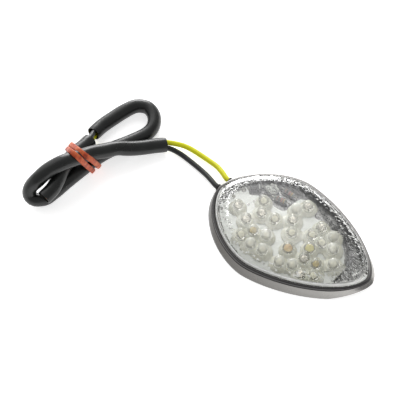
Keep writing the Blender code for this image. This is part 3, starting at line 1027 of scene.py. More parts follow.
@dataclass
class Studio:
    """Light table, soft lights and the camera."""

    azimuth: float = 36.0
    elevation: float = 58.0
    distance_m: float = 0.55
    target: Point = (-45.5, -6.9, 0.0)
    lens_mm: float = 108.0
    sensor_mm: float = 36.0
    sky: float = 1.45
    table_m: float = 6.0
    table_gap_m: float = 0.00005
    bright_side: Point = (-0.75, 0.30, 0.59)

    def build(self) -> None:
        """Makes the camera, the light and the floor."""
        scene = bpy.context.scene
        scene.view_settings.view_transform = "Standard"
        self.add_camera(scene)
        self.add_sky(scene)
        for softbox in SOFTBOXES:
            self.add_softbox(*softbox)
        self.add_floor()

    def add_camera(self, scene: bpy.types.Scene) -> None:
        """Makes the camera, which looks down on the lamp and its leads.

        Args:
            scene: Scene that takes the camera.
        """
        data = bpy.data.cameras.new("camera")
        data.lens = self.lens_mm
        data.sensor_width = self.sensor_mm
        data.clip_start = 0.01
        camera = bpy.data.objects.new("camera", data)
        scene.collection.objects.link(camera)
        turn, rise = math.radians(self.azimuth), math.radians(self.elevation)
        ahead = Vector((-math.sin(turn) * math.cos(rise), math.cos(turn) * math.cos(rise),
                        -math.sin(rise)))
        camera.location = Vector(self.target) * MM - ahead * self.distance_m
        camera.rotation_euler = ahead.to_track_quat("-Z", "Y").to_euler()
        scene.camera = camera

    def add_sky(self, scene: bpy.types.Scene) -> None:
        """Lights the set from all round, most from the bright side, so that gloss has shape.

        Args:
            scene: Scene that takes the sky.
        """
        world = bpy.data.worlds.new("studio")
        world.use_nodes = True
        scene.world = world
        tree = world.node_tree
        place = add_node(tree, "ShaderNodeTexCoord").outputs["Generated"]
        facing = add_node(tree, "ShaderNodeVectorMath", {"operation": "DOT_PRODUCT"},
                          {0: place, 1: Vector(self.bright_side).normalized()}).outputs["Value"]
        ramp = add_node(tree, "ShaderNodeValToRGB", None, {"Fac": facing})
        set_ramp(ramp, ((0.0, "#8c8c8c"), (0.72, "#a6a6a6"), (0.9, "#ffffff")))
        sky = tree.nodes["Background"]
        sky.inputs["Strength"].default_value = self.sky
        tree.links.new(ramp.outputs["Color"], sky.inputs["Color"])

    def add_softbox(self, name: str, place_m: Point, size_m: float, power: float,
                    mirrored: bool) -> None:
        """Hangs a square soft light that faces the middle of the set.

        Args:
            name: Name of the light.
            place_m: Where it hangs, in metres.
            size_m: Its side, in metres.
            power: Its power, in watts.
            mirrored: Whether it shows in glossy surfaces.
        """
        data = bpy.data.lights.new(name, "AREA")
        data.size = size_m
        data.energy = power
        light = bpy.data.objects.new(name, data)
        bpy.context.scene.collection.objects.link(light)
        light.location = place_m
        aim = Vector(self.target) * MM - Vector(place_m)
        light.rotation_euler = aim.to_track_quat("-Z", "Y").to_euler()
        light.visible_glossy = mirrored

    def add_floor(self) -> None:
        """Lays the table on which the lamp rests."""
        bm = bmesh.new()
        bmesh.ops.create_grid(bm, x_segments=4, y_segments=4, size=self.table_m / 2 / MM)
        floor = finished(bm, "studio_floor", [Stuff.LIGHT_TABLE.look()])
        floor.location.z = -self.table_gap_m


# ---- Leads ----


BLACK_ROUTE = (
    (-35.4, 2.0, 3.1), (-39.8, 2.0, 3.1), (-41.8, 2.0, 3.1), (-43.2, 2.2, 3.0),
    (-46.2, 3.3, 2.6), (-49.6, 4.6, 2.1), (-53.4, 5.6, 1.7), (-57.6, 6.4, 1.5),
    (-62.0, 7.0, 1.5), (-66.4, 7.3, 1.8), (-70.4, 6.8, 2.6),
)
YELLOW_ROUTE = (
    (-33.3, 7.8, 3.1), (-37.7, 7.8, 3.1), (-39.7, 7.8, 3.1), (-41.4, 8.1, 3.1),
    (-44.8, 9.8, 2.8), (-48.8, 11.4, 2.2), (-53.4, 12.1, 1.8), (-57.8, 12.4, 1.7),
    (-62.2, 12.5, 1.8), (-66.6, 12.1, 2.2), (-70.8, 10.5, 3.0),
)
LONG_SLEEVE = (
    (-74.8, 6.3, 4.1), (-78.5, 1.9, 5.1), (-81.9, -2.8, 6.4), (-85.4, -7.3, 8.0),
    (-89.3, -11.6, 9.9), (-92.3, -16.5, 11.2), (-95.2, -21.3, 12.6), (-97.0, -26.3, 14.5),
    (-98.3, -31.7, 17.4), (-100.3, -37.2, 19.0), (-103.3, -42.8, 17.6), (-105.4, -47.8, 14.5),
    (-107.8, -51.2, 9.9), (-107.5, -53.1, 6.2), (-105.0, -53.0, 4.3), (-101.6, -49.6, 3.7),
    (-100.4, -44.0, 4.0), (-99.2, -37.0, 4.7), (-97.8, -29.0, 5.0), (-96.4, -20.0, 4.8),
    (-94.1, -11.3, 3.9), (-89.2, -1.6, 3.6), (-86.1, 6.0, 3.6), (-86.2, 11.4, 3.7),
    (-89.2, 16.1, 3.9), (-94.3, 18.3, 4.2), (-99.4, 16.1, 4.2), (-102.2, 11.2, 3.9),
    (-104.3, 4.6, 3.6), (-105.8, -2.6, 3.8), (-105.9, -8.9, 4.6),
)
SHORT_SLEEVE = (
    (-103.4, -14.4, 7.4), (-103.2, -19.0, 8.3), (-103.4, -23.6, 9.2), (-103.1, -28.3, 10.2),
    (-102.3, -32.9, 11.1), (-101.2, -37.5, 11.6), (-99.6, -42.2, 11.4), (-98.6, -46.9, 11.0),
    (-99.1, -52.3, 10.2),
)


def vectors(points: Iterable[Point]) -> list[Vector]:
    """Points as vectors."""
    return [Vector(p) for p in points]


@dataclass
class Sleeving:
    """One length of hollow PVC sleeving, flattened a little where it bends hard."""

    name: str
    route: tuple[Point, ...]
    radius: float = 3.5
    wall: float = 0.5
    sides: int = 32
    step: float = 1.3
    flattening: float = 0.10
    cut_ease: float = 0.12
    straight_below: float = 0.02

    def path(self) -> list[Vector]:
        """Centre line, at an even spacing."""
        return evenly(vectors(self.route), self.step)

    def bend_shape(self, path: list[Vector], inset: float) -> list[Ring]:
        """Rings of one face of the wall.

        Args:
            path: Centre line.
            inset: Depth of this face below the outer one.

        Returns:
            The rings, pressed flat across each tight bend.
        """
        rings = tube_rings(path, self.radius - inset, self.sides)
        bends = []
        for a, b, c in zip([path[0], *path], path, [*path[1:], path[-1]]):
            bends.append((c - b) - (b - a) if (b - a).length and (c - b).length else Vector())
        width = 3
        for k, (centre, ring) in enumerate(zip(path, rings)):
            near = bends[max(0, k - width) : k + width + 1]
            pull = sum(near, Vector()) / len(near) / self.step**2
            if pull.length < self.straight_below:
                continue
            inward = pull.normalized()
            press = min(self.flattening, 0.7 * pull.length * self.radius * self.flattening * 3)
            for point in ring:
                depth = (point - centre).dot(inward)
                point += (point - centre - inward * depth) * press * 0.45
                point -= inward * depth * press
        return rings

    def build(self) -> tuple[bpy.types.Object, list[Vector]]:
        """Makes the sleeve.

        Returns:
            The piece and its centre line.
        """
        path = self.path()
        skin = Skin()
        last = len(path) - 1
        for k, ring in enumerate(self.bend_shape(path, 0.0)):
            ease = self.cut_ease if k in (0, last) else 0.0
            skin.row([p.lerp(path[k], ease / self.radius) for p in ring])
        for k, ring in reversed(list(enumerate(self.bend_shape(path, self.wall)))):
            skin.row(ring, 0 if k in (last, 0) else 1)
        bm = skin.bmesh(capped=False, joined=True)
        piece = finished(bm, self.name, [Stuff.SLEEVE.look(), Stuff.BORE.look()], 40)
        add_strip_map(piece, path, self.sides, 2 * math.pi * self.radius)
        return piece, path


@dataclass
class Lead:
    """One insulated wire from the board through the wall and along both sleeves."""

    name: str
    route: tuple[Point, ...]
    side: int
    insulation: Stuff
    exit_mm: Point
    length_m: float
    node: str
    slot: str
    radius: float = 1.25
    offset: float = 1.33
    sides: int = 18
    step: float = 1.3
    end_share: float = 0.94
    strand_radius: float = 0.17
    stripped: float = 1.9
    bared: float = 2.0
    cut_ease: float = 0.08
    strand_count: int = 7
    twin_side: Point = (-0.588, 0.809, 0.25)

    def path(self) -> list[Vector]:
        """Centre line: free at first, then beside its twin inside the sleeves.

        Returns:
            Points of the line, in millimetres.
        """
        sleeves = [evenly(vectors(route), self.step) for route in (LONG_SLEEVE, SHORT_SLEEVE)]
        kept = sleeves[1][: round(len(sleeves[1]) * self.end_share)]
        bore = [*sleeves[0], *kept]
        sides = frames_along(bore, Vector(self.twin_side))
        inside = [p + side * self.side * self.offset for p, (side, _) in zip(bore, sides)]
        free = evenly([*vectors(self.route), inside[0]], self.step)
        return evenly([*free[:-1], *inside][::2], self.step)

    def strands(self, name: str, start: Vector, along: Vector, reach: float,
                stuff: Stuff) -> bpy.types.Object:
        """Seven twisted copper strands that stand out of the insulation.

        Args:
            name: Name of the piece.
            start: Where they leave the insulation.
            along: Direction in which they go.
            reach: How far they stand out.
            stuff: Their finish.

        Returns:
            The piece.
        """
        whole = bmesh.new()
        side = along.orthogonal().normalized()
        other = along.cross(side)
        outer, steps, twist = self.strand_count - 1, 12, 0.8
        for k in range(self.strand_count):
            points = []
            for step in range(steps + 1):
                share = step / steps
                angle = 2 * math.pi * k / outer + share * reach * twist
                spread = 0.0 if k == outer else self.strand_radius * 2.1
                swing = (side * math.cos(angle) + other * math.sin(angle)) * spread
                points.append(start + along * (share * reach) + swing)
            absorb(whole, rod(points, self.strand_radius, 8, side))
        return settle(finished(whole, name, [stuff.look()]), "solder")

    def build(self, with_pieces: Sequence[bpy.types.Object] = ()) -> bpy.types.Object:
        """Args:
            with_pieces: Pieces that sit on this wire; not used.

        Returns:
            The wire.
        """
        path = self.path()
        while (path[0] - Vector(self.route[0])).length < self.bared:
            path = path[1:]
        skin = Skin()
        for k, ring in enumerate(tube_rings(path, self.radius, self.sides)):
            ease = self.cut_ease if k in (0, len(path) - 1) else 0.0
            skin.row([p.lerp(path[k], ease) for p in ring])
        wire = finished(skin.bmesh(), self.name, [self.insulation.look()])
        add_strip_map(wire, path, self.sides, 2 * math.pi * self.radius)
        settle(wire, self.slot, self.node)
        board_end = Vector(self.route[0]) + Vector((self.stripped, 0, -0.1))
        inward = board_end - path[0]
        tail = self.strands(f"{self.name}_tail", path[0], inward.normalized(), inward.length,
                            Stuff.TINNED)
        core = self.strands(f"{self.name}_core", path[-1], (path[-1] - path[-2]).normalized(),
                            self.stripped, Stuff.COPPER)
        log.info("%s is %.1f mm long", self.name, line_length(path))
        return wire


@dataclass
class RubberTie:
    """A rubber band wound twice round the bundle, which crosses itself out of sight."""

    at: Point = (-99.0, -24.6, 9.0)
    normal: Point = (-0.12, -1.0, -0.40)
    spread: float = 1.3
    splay: float = 0.5
    splay_angle: float = 200.0
    width: float = 2.5
    thick: float = 1.35
    crossing: float = 330.0
    strand_radius: float = 3.5
    turns: int = 2
    lowest_z: float = 0.05
    corner_power: float = 0.7
    steps: int = 180
    swap_speed: float = 3.0
    climb: float = 0.9

    def axes(self) -> tuple[Vector, Vector, Vector]:
        """Along the bundle, across it and up.

        Returns:
            Three directions at right angles.
        """
        along = Vector(self.normal).normalized()
        side = along.cross(Vector((0, 0, 1))).normalized()
        return along, side, side.cross(along)

    def crossing_of(self, path: list[Vector], middle: Vector,
                    along: Vector) -> tuple[Vector, Vector]:
        """Where a strand crosses the band's plane, and how it leans there.

        Args:
            path: Centre line of the strand.
            middle: A point of the plane.
            along: The plane's normal.

        Returns:
            The place, measured from middle, and the lean for each step along the normal.
        """
        k = min(range(1, len(path) - 1), key=lambda i: abs((path[i] - middle).dot(along)))
        ahead = path[k + 1] - path[k - 1]
        ahead /= ahead.dot(along)
        here = path[k] - middle
        return here - ahead * here.dot(along), ahead - along

    def loop(self) -> list[tuple[Vector, Vector]]:
        """Centre line of the band.

        Returns:
            Each point of the closed line with the direction away from the bundle.
        """
        along, side, up = self.axes()
        strands = [
            evenly(vectors(route), 0.5)
            for route in (LONG_SLEEVE[:11], LONG_SLEEVE[16:22], SHORT_SLEEVE)
        ]
        spots = []
        for i in range(self.steps):
            angle = 2 * math.pi * self.turns * i / self.steps
            phase = (angle - math.radians(self.crossing)) / self.turns
            swing = max(-1.0, min(1.0, -self.swap_speed * math.sin(phase)))
            over = max(0.0, math.cos(phase)) ** 12
            open_end = max(0.0, math.cos(angle - math.radians(self.splay_angle))) ** 3
            shift = swing * (self.spread + self.splay * open_end)
            middle = Vector(self.at) + along * shift
            way = side * math.cos(angle) + up * math.sin(angle)
            best, spot = -math.inf, middle
            for path in strands:
                place, lean = self.crossing_of(path, middle, along)
                grown = math.hypot(1, lean.dot(way))
                reach = place.dot(way) + self.strand_radius * grown
                if reach > best:
                    best = reach
                    edge = (way + lean * lean.dot(way)) * (self.strand_radius / grown)
                    spot = middle + place + edge + way * self.thick * (0.5 + self.climb * over)
            spots.append(spot)
        even = evenly([*spots, spots[0]], 0.7, curved=False)[:-1]
        for _ in range(4):
            even = [
                (even[k - 1] + even[k] * 2 + even[(k + 1) % len(even)]) / 4
                for k in range(len(even))
            ]
        centre = sum(even, Vector()) / len(even)
        return [(p, p - centre - along * (p - centre).dot(along)) for p in even]

    def build(self) -> bpy.types.Object:
        """Makes the band as a closed strip with rounded edges.

        Returns:
            The band.
        """
        line = self.loop()
        skin = Skin()
        sides = 16
        for k, (centre, away) in enumerate(line):
            ahead = (line[(k + 1) % len(line)][0] - line[k - 1][0]).normalized()
            out = (away - ahead * away.dot(ahead)).normalized()
            across = ahead.cross(out)
            ring = []
            for i in range(sides):
                angle = 2 * math.pi * i / sides
                c, s = math.cos(angle), math.sin(angle)
                u = math.copysign(abs(c) ** self.corner_power, c) * self.width / 2
                v = math.copysign(abs(s) ** self.corner_power, s) * self.thick / 2
                spot = centre + across * u + out * v
                spot.z = max(spot.z, self.lowest_z)
                ring.append(spot)
            skin.row(ring)
        bm = skin.bmesh(capped=False, joined=True)
        return settle(finished(bm, "rubber_tie", [Stuff.TIE.look()], 60), "red_rubber", "tie_band")


@dataclass
class Harness:
    """Both wires, both sleeves and the band that holds them folded."""

    black_exit: Point = (-41.8, 2.0, 3.1)
    yellow_exit: Point = (-39.7, 7.8, 3.1)
    sleeve_length_m: float = 0.192
    black_length_m: float = 0.264
    yellow_length_m: float = 0.268

    def build(self) -> None:
        """Makes the cords, nearest first."""
        tie = RubberTie().build()
        long_sleeve, long_path = Sleeving("long_sleeve", LONG_SLEEVE).build()
        settle(long_sleeve, "sleeve_pvc", "sleeve_long")
        log.info("long_sleeve is %.1f mm long", line_length(long_path))
        short_sleeve, short_path = Sleeving("short_sleeve", SHORT_SLEEVE).build()
        settle(short_sleeve, "sleeve_pvc", "sleeve_short")
        log.info("short_sleeve is %.1f mm long", line_length(short_path))
        Lead(
            "black_lead", BLACK_ROUTE, -1, Stuff.BLACK_WIRE,
            self.black_exit, self.black_length_m, "black_wire", "black_pvc",
        ).build([short_sleeve])
        Lead(
            "yellow_lead", YELLOW_ROUTE, 1, Stuff.YELLOW_WIRE,
            self.yellow_exit, self.yellow_length_m, "yellow_wire", "yellow_pvc",
        ).build()


# ---- Housing, lens and what joins them ----


@dataclass
class Housing:
    """The plated tray: flared wall, rim band, lens seat and reflecting floor."""

    flare: float = 1.6
    rim_width: float = 1.4
    seat_z: float = 4.9
    seat_inset: float = 2.8
    floor_z: float = 1.3
    pad_share: float = 0.712
    recess_z: float = 0.65
    rim_from: float = 4.95
    hole_radius: float = 1.78
    hole_x: float = -38.6
    hole_depth: float = 12.0
    hole_places: tuple[tuple[float, float], ...] = ((2.0, 3.1), (7.8, 3.1))

    def outer_profile(self) -> list[tuple[float, float]]:
        """Inset and height of the outside, from the base up to the rim's inner edge.

        Returns:
            Points of the profile, in order.
        """
        rim = LEAF.rim_z
        return [
            (-self.flare + 0.2, 0.0), (-self.flare - 0.02, 0.12), (-self.flare - 0.1, 0.5),
            (-1.36, 1.9), (-0.92, 3.2), (-0.5, 4.4), (-0.3, rim - 1.56), (-0.2, rim - 1.5),
            (-0.02, rim - 1.4), (0.0, rim - 1.3), (0.0, rim - 0.45), (0.06, rim - 0.22),
            (0.2, rim - 0.07), (0.42, rim), (self.rim_width - 0.2, rim),
            (self.rim_width - 0.05, rim - 0.05), (self.rim_width, rim - 0.2),
        ]

    def inner_profile(self) -> list[tuple[float, float]]:
        """Inset and height of the inside, from the rim down to the floor.

        Returns:
            Points of the profile, in order.
        """
        return [
            (self.rim_width, self.seat_z + 0.1), (self.rim_width + 0.1, self.seat_z),
            (self.seat_inset - 0.1, self.seat_z), (self.seat_inset, self.seat_z - 0.1),
            (self.seat_inset + 0.1, 3.2), (self.seat_inset + 0.25, 2.0),
            (self.seat_inset + 0.55, self.floor_z + 0.2), (self.seat_inset + 1.0, self.floor_z),
        ]

    def build(self) -> bpy.types.Object:
        """Makes the tray and bores its two wire holes.

        Returns:
            The tray.
        """
        skin = Skin()
        skin.row(LEAF.ring(self.recess_z, share=self.pad_share))
        skin.row(LEAF.ring(0.0, share=self.pad_share))
        for inset, z in self.outer_profile():
            skin.row(LEAF.ring(z, inset), 2 if z > self.rim_from else 0)
        for inset, z in self.inner_profile():
            skin.row(LEAF.ring(z, inset), 3 if z > self.floor_z else 1)
        for share in (0.8, 0.6, 0.4, 0.2):
            skin.row(LEAF.ring(self.floor_z, share=share), 1)
        bm = skin.bmesh()
        LEAF.lift_tip(bm)
        looks = [Stuff.PLATING.look(), Stuff.REFLECTOR.look(), Stuff.RIM.look(),
                 Stuff.FLUTED.look()]
        tray = finished(bm, "plated_tray", looks, 32)
        self.bore(tray)
        return settle(tray, "smoke_chrome", "housing_tray")

    def bore(self, tray: bpy.types.Object) -> None:
        """Cuts the wire holes through the blunt end.

        Args:
            tray: Tray that is bored, changed in place.
        """
        drills = []
        lying = Matrix.Rotation(math.pi / 2, 4, "Y")
        for y, z in self.hole_places:
            bm = bmesh.new()
            bmesh.ops.create_cone(
                bm, cap_ends=True, segments=40, depth=self.hole_depth,
                radius1=self.hole_radius, radius2=self.hole_radius,
                matrix=Matrix.Translation((self.hole_x, y, z)) @ lying,
            )
            drills.append(finished(bm, "drill", [Stuff.PLATING.look()]))
            cut = tray.modifiers.new("hole", "BOOLEAN")
            cut.operation = "DIFFERENCE"
            cut.solver = "EXACT"
            cut.object = drills[-1]
        apply_modifiers(tray)
        for drill in drills:
            bpy.data.objects.remove(drill, do_unlink=True)


@dataclass
class LensCover:
    """Clear domed lens with a skirt and a band of small prisms inside its edge."""

    inset: float = 1.7
    bottom: float = 5.6
    edge_z: float = 7.0
    rise: float = 4.0
    thick: float = 1.3
    points: int = 300
    prism_from: float = 0.825
    prism_to: float = 0.925
    prism_rows: int = 5
    prism_depth: float = 0.34
    # Pale edge faces: where the painted highlight starts, and how many faces stay pale as painted
    # glints.
    edge_highlight_from: float = 0.988
    prism_glint_share: float = 0.13
    glint_side_y: float = 2.0
    skirt_glint_share: float = 0.3
    skirt_share: float = 0.95
    inner_shares: tuple[float, ...] = (0.08, 0.2, 0.35, 0.5, 0.6, 0.7, 0.76)
    outer_shares: tuple[float, ...] = (
        1.0, 0.9985, 0.995, 0.988, 0.978, 0.965, 0.95, 0.93, 0.905, 0.875, 0.84, 0.8, 0.75,
        0.69, 0.62, 0.54, 0.45, 0.35, 0.24, 0.12,
    )
    seed: int = 7

    def height(self, share: float) -> float:
        """Height of the outer face: steep at the edge and nearly flat in the middle."""
        return self.edge_z + self.rise * max(0.0, 1 - share**4) ** 0.45

    def inner(self, share: float) -> float:
        """Height of the inner face."""
        return self.height(min(1.0, share * 1.03)) - self.thick

    def prism_ring(self, share: float, row: int, dice: random.Random) -> Ring:
        """Ring of prism points, raised and sunk by turns and not quite alike.

        Args:
            share: Share of the outline.
            row: Number of the ring.
            dice: Source of the unevenness.

        Returns:
            The ring.
        """
        ring = LEAF.ring(self.inner(share), self.inset, share, self.points)
        for i, point in enumerate(ring):
            way = 1 if (i + row) % 2 else -1
            point.z += way * self.prism_depth * dice.uniform(0.35, 1.0)
        return ring

    def build(self) -> bpy.types.Object:
        """Makes the lens.

        Returns:
            The lens.
        """
        dice = random.Random(self.seed)
        skin = Skin()
        for share in self.inner_shares:
            skin.row(LEAF.ring(self.inner(share), self.inset, share, self.points))
        for row in range(self.prism_rows):
            part = row / (self.prism_rows - 1)
            share = self.prism_from + (self.prism_to - self.prism_from) * part
            skin.row(self.prism_ring(share, row, dice), 0, row < self.prism_rows - 1)
        ring = (self.inset, self.skirt_share, self.points)
        skin.row(LEAF.ring(self.inner(self.skirt_share), *ring), 1)
        skin.row(LEAF.ring(self.bottom + 0.08, *ring), 1)
        skin.row(LEAF.ring(self.bottom, self.inset, self.skirt_share + 0.004, self.points), 1)
        skin.row(LEAF.ring(self.bottom, self.inset, 0.996, self.points), 1)
        skin.row(LEAF.ring(self.bottom + 0.08, self.inset, 1.0, self.points), 1)
        for share in self.outer_shares:
            skin.row(LEAF.ring(self.height(share), self.inset, share, self.points),
                     1 if share > self.edge_highlight_from else 0)
        bm = skin.bmesh()
        # Painted highlight and glints: pale faces all stay along the near side; on the far side and
        # among the prisms only a random few do.
        for face in bm.faces:
            if not face.smooth:
                if len(face.verts) < 5:
                    face.material_index = 1 if dice.random() < self.prism_glint_share else 0
            elif face.material_index and face.calc_center_median().y > self.glint_side_y * MM:
                face.material_index = 1 if dice.random() < self.skirt_glint_share else 0
        LEAF.lift_tip(bm)
        lens = finished(bm, "clear_lens", [Stuff.LENS.look(), Stuff.LENS_EDGE.look()], 50,
                        keep_facets=True)
        return settle(lens, "clear_polycarbonate", "lens_cover")


@dataclass
class LensSeal:
    """Bead of sealant between the lens skirt and its seat, squeezed out unevenly."""

    low: float = 5.0
    high: float = 5.55
    outer: float = 1.65
    inner: float = 2.45
    squeeze: float = 0.16
    points: int = 240

    def build(self) -> bpy.types.Object:
        """Makes the bead as a closed ring of uneven width.

        Returns:
            The bead.
        """
        skin = Skin()
        rows = ((self.outer, self.low), (self.inner, self.low), (self.inner + 0.1, 5.25),
                (self.inner, self.high), (self.outer, self.high))
        for k, (inset, z) in enumerate(rows):
            ring = []
            for i in range(self.points):
                wave = math.sin(i * 0.37) * math.sin(i * 0.11 + 1) if 0 < k < 4 else 0
                x, y = LEAF.point(LEAF.angle(i, self.points), inset + self.squeeze * wave)
                ring.append(Vector((x, y, z)))
            skin.row(ring)
        bm = skin.bmesh(capped=False, joined=True)
        LEAF.lift_tip(bm)
        return settle(finished(bm, "lens_seal", [Stuff.SEALANT.look()]), "clear_glue",
                      "lens_adhesive")


@dataclass
class FoamPad:
    """Double-sided foam tape under the tray, die-cut with soft edges."""

    share: float = 0.70
    thick: float = 0.55

    def build(self) -> bpy.types.Object:
        """Makes the pad.

        Returns:
            The pad.
        """
        skin = Skin()
        for z, inset in ((0.0, 0.12), (0.04, 0.0), (self.thick - 0.06, 0.0), (self.thick, 0.1)):
            skin.row(LEAF.ring(z, inset, self.share))
        piece = finished(skin.bmesh(), "foam_tape_pad", [Stuff.FOAM.look()])
        return settle(piece, "adhesive_foam", "adhesive_pad")


# ---- Board, resin and components ----


BOARD_EDGE = (
    (-35.6, -3.4), (-34.6, -1.2), (-34.6, 3.6), (-32.7, 5.6), (-32.5, 9.4), (-29.6, 8.9),
    (-27.6, 7.4), (-22.0, 9.8), (-14.2, 8.6), (-9.8, 9.6), (-8.8, 15.6), (-6.3, 19.6),
    (0.8, 19.4), (3.0, 14.6), (8.0, 14.8), (13.0, 13.4), (18.0, 13.0), (21.4, 9.0),
    (25.5, 4.0), (27.6, -2.4), (26.8, -8.6),
)
LEDS = (
    (-27.9, -2.1, 5, 30), (-20.8, -5.7, 0, 0), (-19.7, 6.8, 6, 250), (-17.0, 1.2, 0, 0),
    (-10.4, 1.9, 0, 0), (-14.8, -8.9, 4, 120), (-18.0, -13.6, 5, 80), (-12.0, -14.9, 0, 0),
    (-8.6, -7.4, 6, 200), (-6.0, -14.6, 7, 70), (-3.6, 6.2, 0, 0), (-5.4, 11.7, 5, 300),
    (-1.9, 16.3, 6, 250), (-0.3, 0.5, 0, 0), (2.8, -7.2, 0, 0), (10.5, -1.6, 0, 0),
    (7.6, 4.8, 4, 60), (9.1, 10.4, 5, 240), (13.4, 4.0, 0, 0), (15.8, 9.2, 6, 320),
    (19.2, 4.1, 4, 200), (17.1, -6.7, 0, 0), (11.4, -7.4, 0, 0), (3.5, -15.4, 6, 100),
    (8.8, -12.9, 0, 0), (23.5, -2.4, 7, 180), (19.4, -12.0, 5, 140), (14.3, -14.7, 4, 100),
)


@dataclass
class Board:
    """White circuit board with a wavy free edge, and its tinned pads."""

    low: float = 1.6
    high: float = 2.6
    margin: float = 3.4
    wall_angles: tuple[int, int] = (187, 332)
    bevel: float = 0.12
    mask_above: float = 2.4
    wall_step: int = 3
    pads: tuple[tuple[float, float, float], ...] = (
        (-33.6, 2.0, 1.4), (-31.4, 7.8, 1.2), (-33.2, -7.0, 0.8), (-24.4, -12.4, 0.6),
        (-29.0, -10.4, 0.6), (-25.2, 2.6, 0.6), (-23.4, -17.0, 0.6), (-24.0, 5.4, 0.6),
    )

    def outline(self) -> list[Vector]:
        """The board's edge: along the wall, then back along the free side.

        Returns:
            Points of the closed edge.
        """
        start, stop = self.wall_angles
        wall = [
            Vector((*LEAF.point(math.radians(angle), self.margin), 0))
            for angle in range(start, stop, self.wall_step)
        ]
        free = smooth_points([Vector((*p, 0)) for p in BOARD_EDGE], 6)
        return [*wall, *reversed(free)]

    def build(self) -> None:
        """Makes the board and its pads."""
        bm = bmesh.new()
        base = [bm.verts.new((p.x, p.y, self.low)) for p in self.outline()]
        face = bm.faces.new(base)
        grown = bmesh.ops.extrude_face_region(bm, geom=[face])["geom"]
        top = [g for g in grown if isinstance(g, bmesh.types.BMVert)]
        for vert in top:
            vert.co.z = self.high
        rim = [e for e in bm.edges if all(v.co.z > self.high - 0.01 for v in e.verts)]
        bmesh.ops.bevel(bm, geom=rim, offset=self.bevel, segments=2, affect="EDGES", profile=0.5)
        for face in bm.faces:
            masked = face.normal.z > 0.5 or face.calc_center_median().z > self.mask_above
            face.material_index = 0 if masked else 1
        piece = finished(bm, "white_board", [Stuff.MASK.look(), Stuff.LAMINATE.look()])
        settle(piece, "white_board", "circuit_board")
        self.build_pads()

    def build_pads(self) -> None:
        """Makes the tinned pads, each a low ring with a filled middle."""
        whole = bmesh.new()
        for x, y, radius in self.pads:
            profile = [(0, 0.05), (radius * 0.4, 0.06), (radius * 0.55, 0.12), (radius * 0.8, 0.09),
                       (radius, 0.03), (radius, -0.05)]
            part = turned(profile, 24)
            bmesh.ops.translate(part, vec=(x, y, self.high), verts=part.verts)
            absorb(whole, part)
        settle(finished(whole, "tinned_pads", [Stuff.SOLDER.look()]), "solder")


@dataclass
class ResinPool:
    """Milky resin poured round the LEDs: a scalloped edge, and a collar up each LED's foot."""

    floor: float = 2.62
    margin: float = 3.45
    grain: float = 0.40
    easing: int = 5
    well_radius: float = 2.45
    well_z: float = 3.6
    seed: int = 21

    def collar(self, dice: random.Random) -> list[tuple[float, float]]:
        """Profile of the resin round one LED.

        Args:
            dice: Source of its width and rise.

        Returns:
            Points of the profile, from the top down.
        """
        wide = dice.uniform(4.2, 5.1)
        rise = dice.uniform(0.0, 0.6)
        return [
            (0, 4.0 + rise), (2.8, 4.0 + rise), (3.2, 3.8 + rise * 0.7), (3.7, 3.5),
            (wide * 0.9, 3.2), (wide, 3.0), (wide, self.floor), (0, self.floor),
        ]

    def build(self) -> bpy.types.Object:
        """Makes the pool from one collar for each LED, run together and smoothed.

        Returns:
            The pool.
        """
        dice = random.Random(self.seed)
        whole = bmesh.new()
        for x, y, _, _ in LEDS:
            part = turned(self.collar(dice), 22)
            bmesh.ops.translate(part, vec=(x, y, 0), verts=part.verts)
            absorb(whole, part)
        pool = finished(whole, "resin_pool", [Stuff.RESIN.look()])
        mesh = melted(pool, self.grain, self.easing)
        for vert in mesh.vertices:
            self.shape(vert)
        mesh.shade_smooth()
        return settle(pool, "milky_resin", "potting_resin")

    def shape(self, vert: bpy.types.MeshVertex) -> None:
        """Keeps a point of the pool off the wall, and out of the well that each LED fills.

        Args:
            vert: Point that is moved.
        """
        share = LEAF.share_at(vert.co.x / MM, vert.co.y / MM, self.margin)
        if share > 1:
            vert.co.x = (LEAF.widest_x + (vert.co.x / MM - LEAF.widest_x) / share) * MM
            vert.co.y /= share
        x, y, z = vert.co / MM
        if z > self.well_z and any(
            (x - led[0]) ** 2 + (y - led[1]) ** 2 < self.well_radius**2 for led in LEDS
        ):
            vert.co.z = self.well_z * MM


class Die(Enum):
    """What shows through an LED's dome: the gel in its cup, and whether the epoxy is milky."""

    PALE = (Stuff.GEL_PALE, Stuff.EPOXY)
    YELLOW = (Stuff.GEL_YELLOW, Stuff.EPOXY)
    ORANGE = (Stuff.GEL_ORANGE, Stuff.EPOXY)
    OCHRE = (Stuff.GEL_OCHRE, Stuff.EPOXY)
    BARE = (Stuff.TINNED, Stuff.EPOXY)
    MILKY = (Stuff.GEL_PALE, Stuff.EPOXY_MILKY)


DIES = {
    1: Die.BARE, 2: Die.BARE, 3: Die.PALE, 4: Die.BARE, 6: Die.OCHRE, 8: Die.MILKY,
    9: Die.MILKY, 10: Die.MILKY, 11: Die.BARE, 12: Die.MILKY, 13: Die.BARE, 15: Die.ORANGE,
    16: Die.YELLOW, 18: Die.BARE, 20: Die.MILKY, 21: Die.MILKY, 22: Die.OCHRE, 23: Die.BARE,
    24: Die.MILKY, 25: Die.MILKY, 26: Die.MILKY, 28: Die.BARE,
}


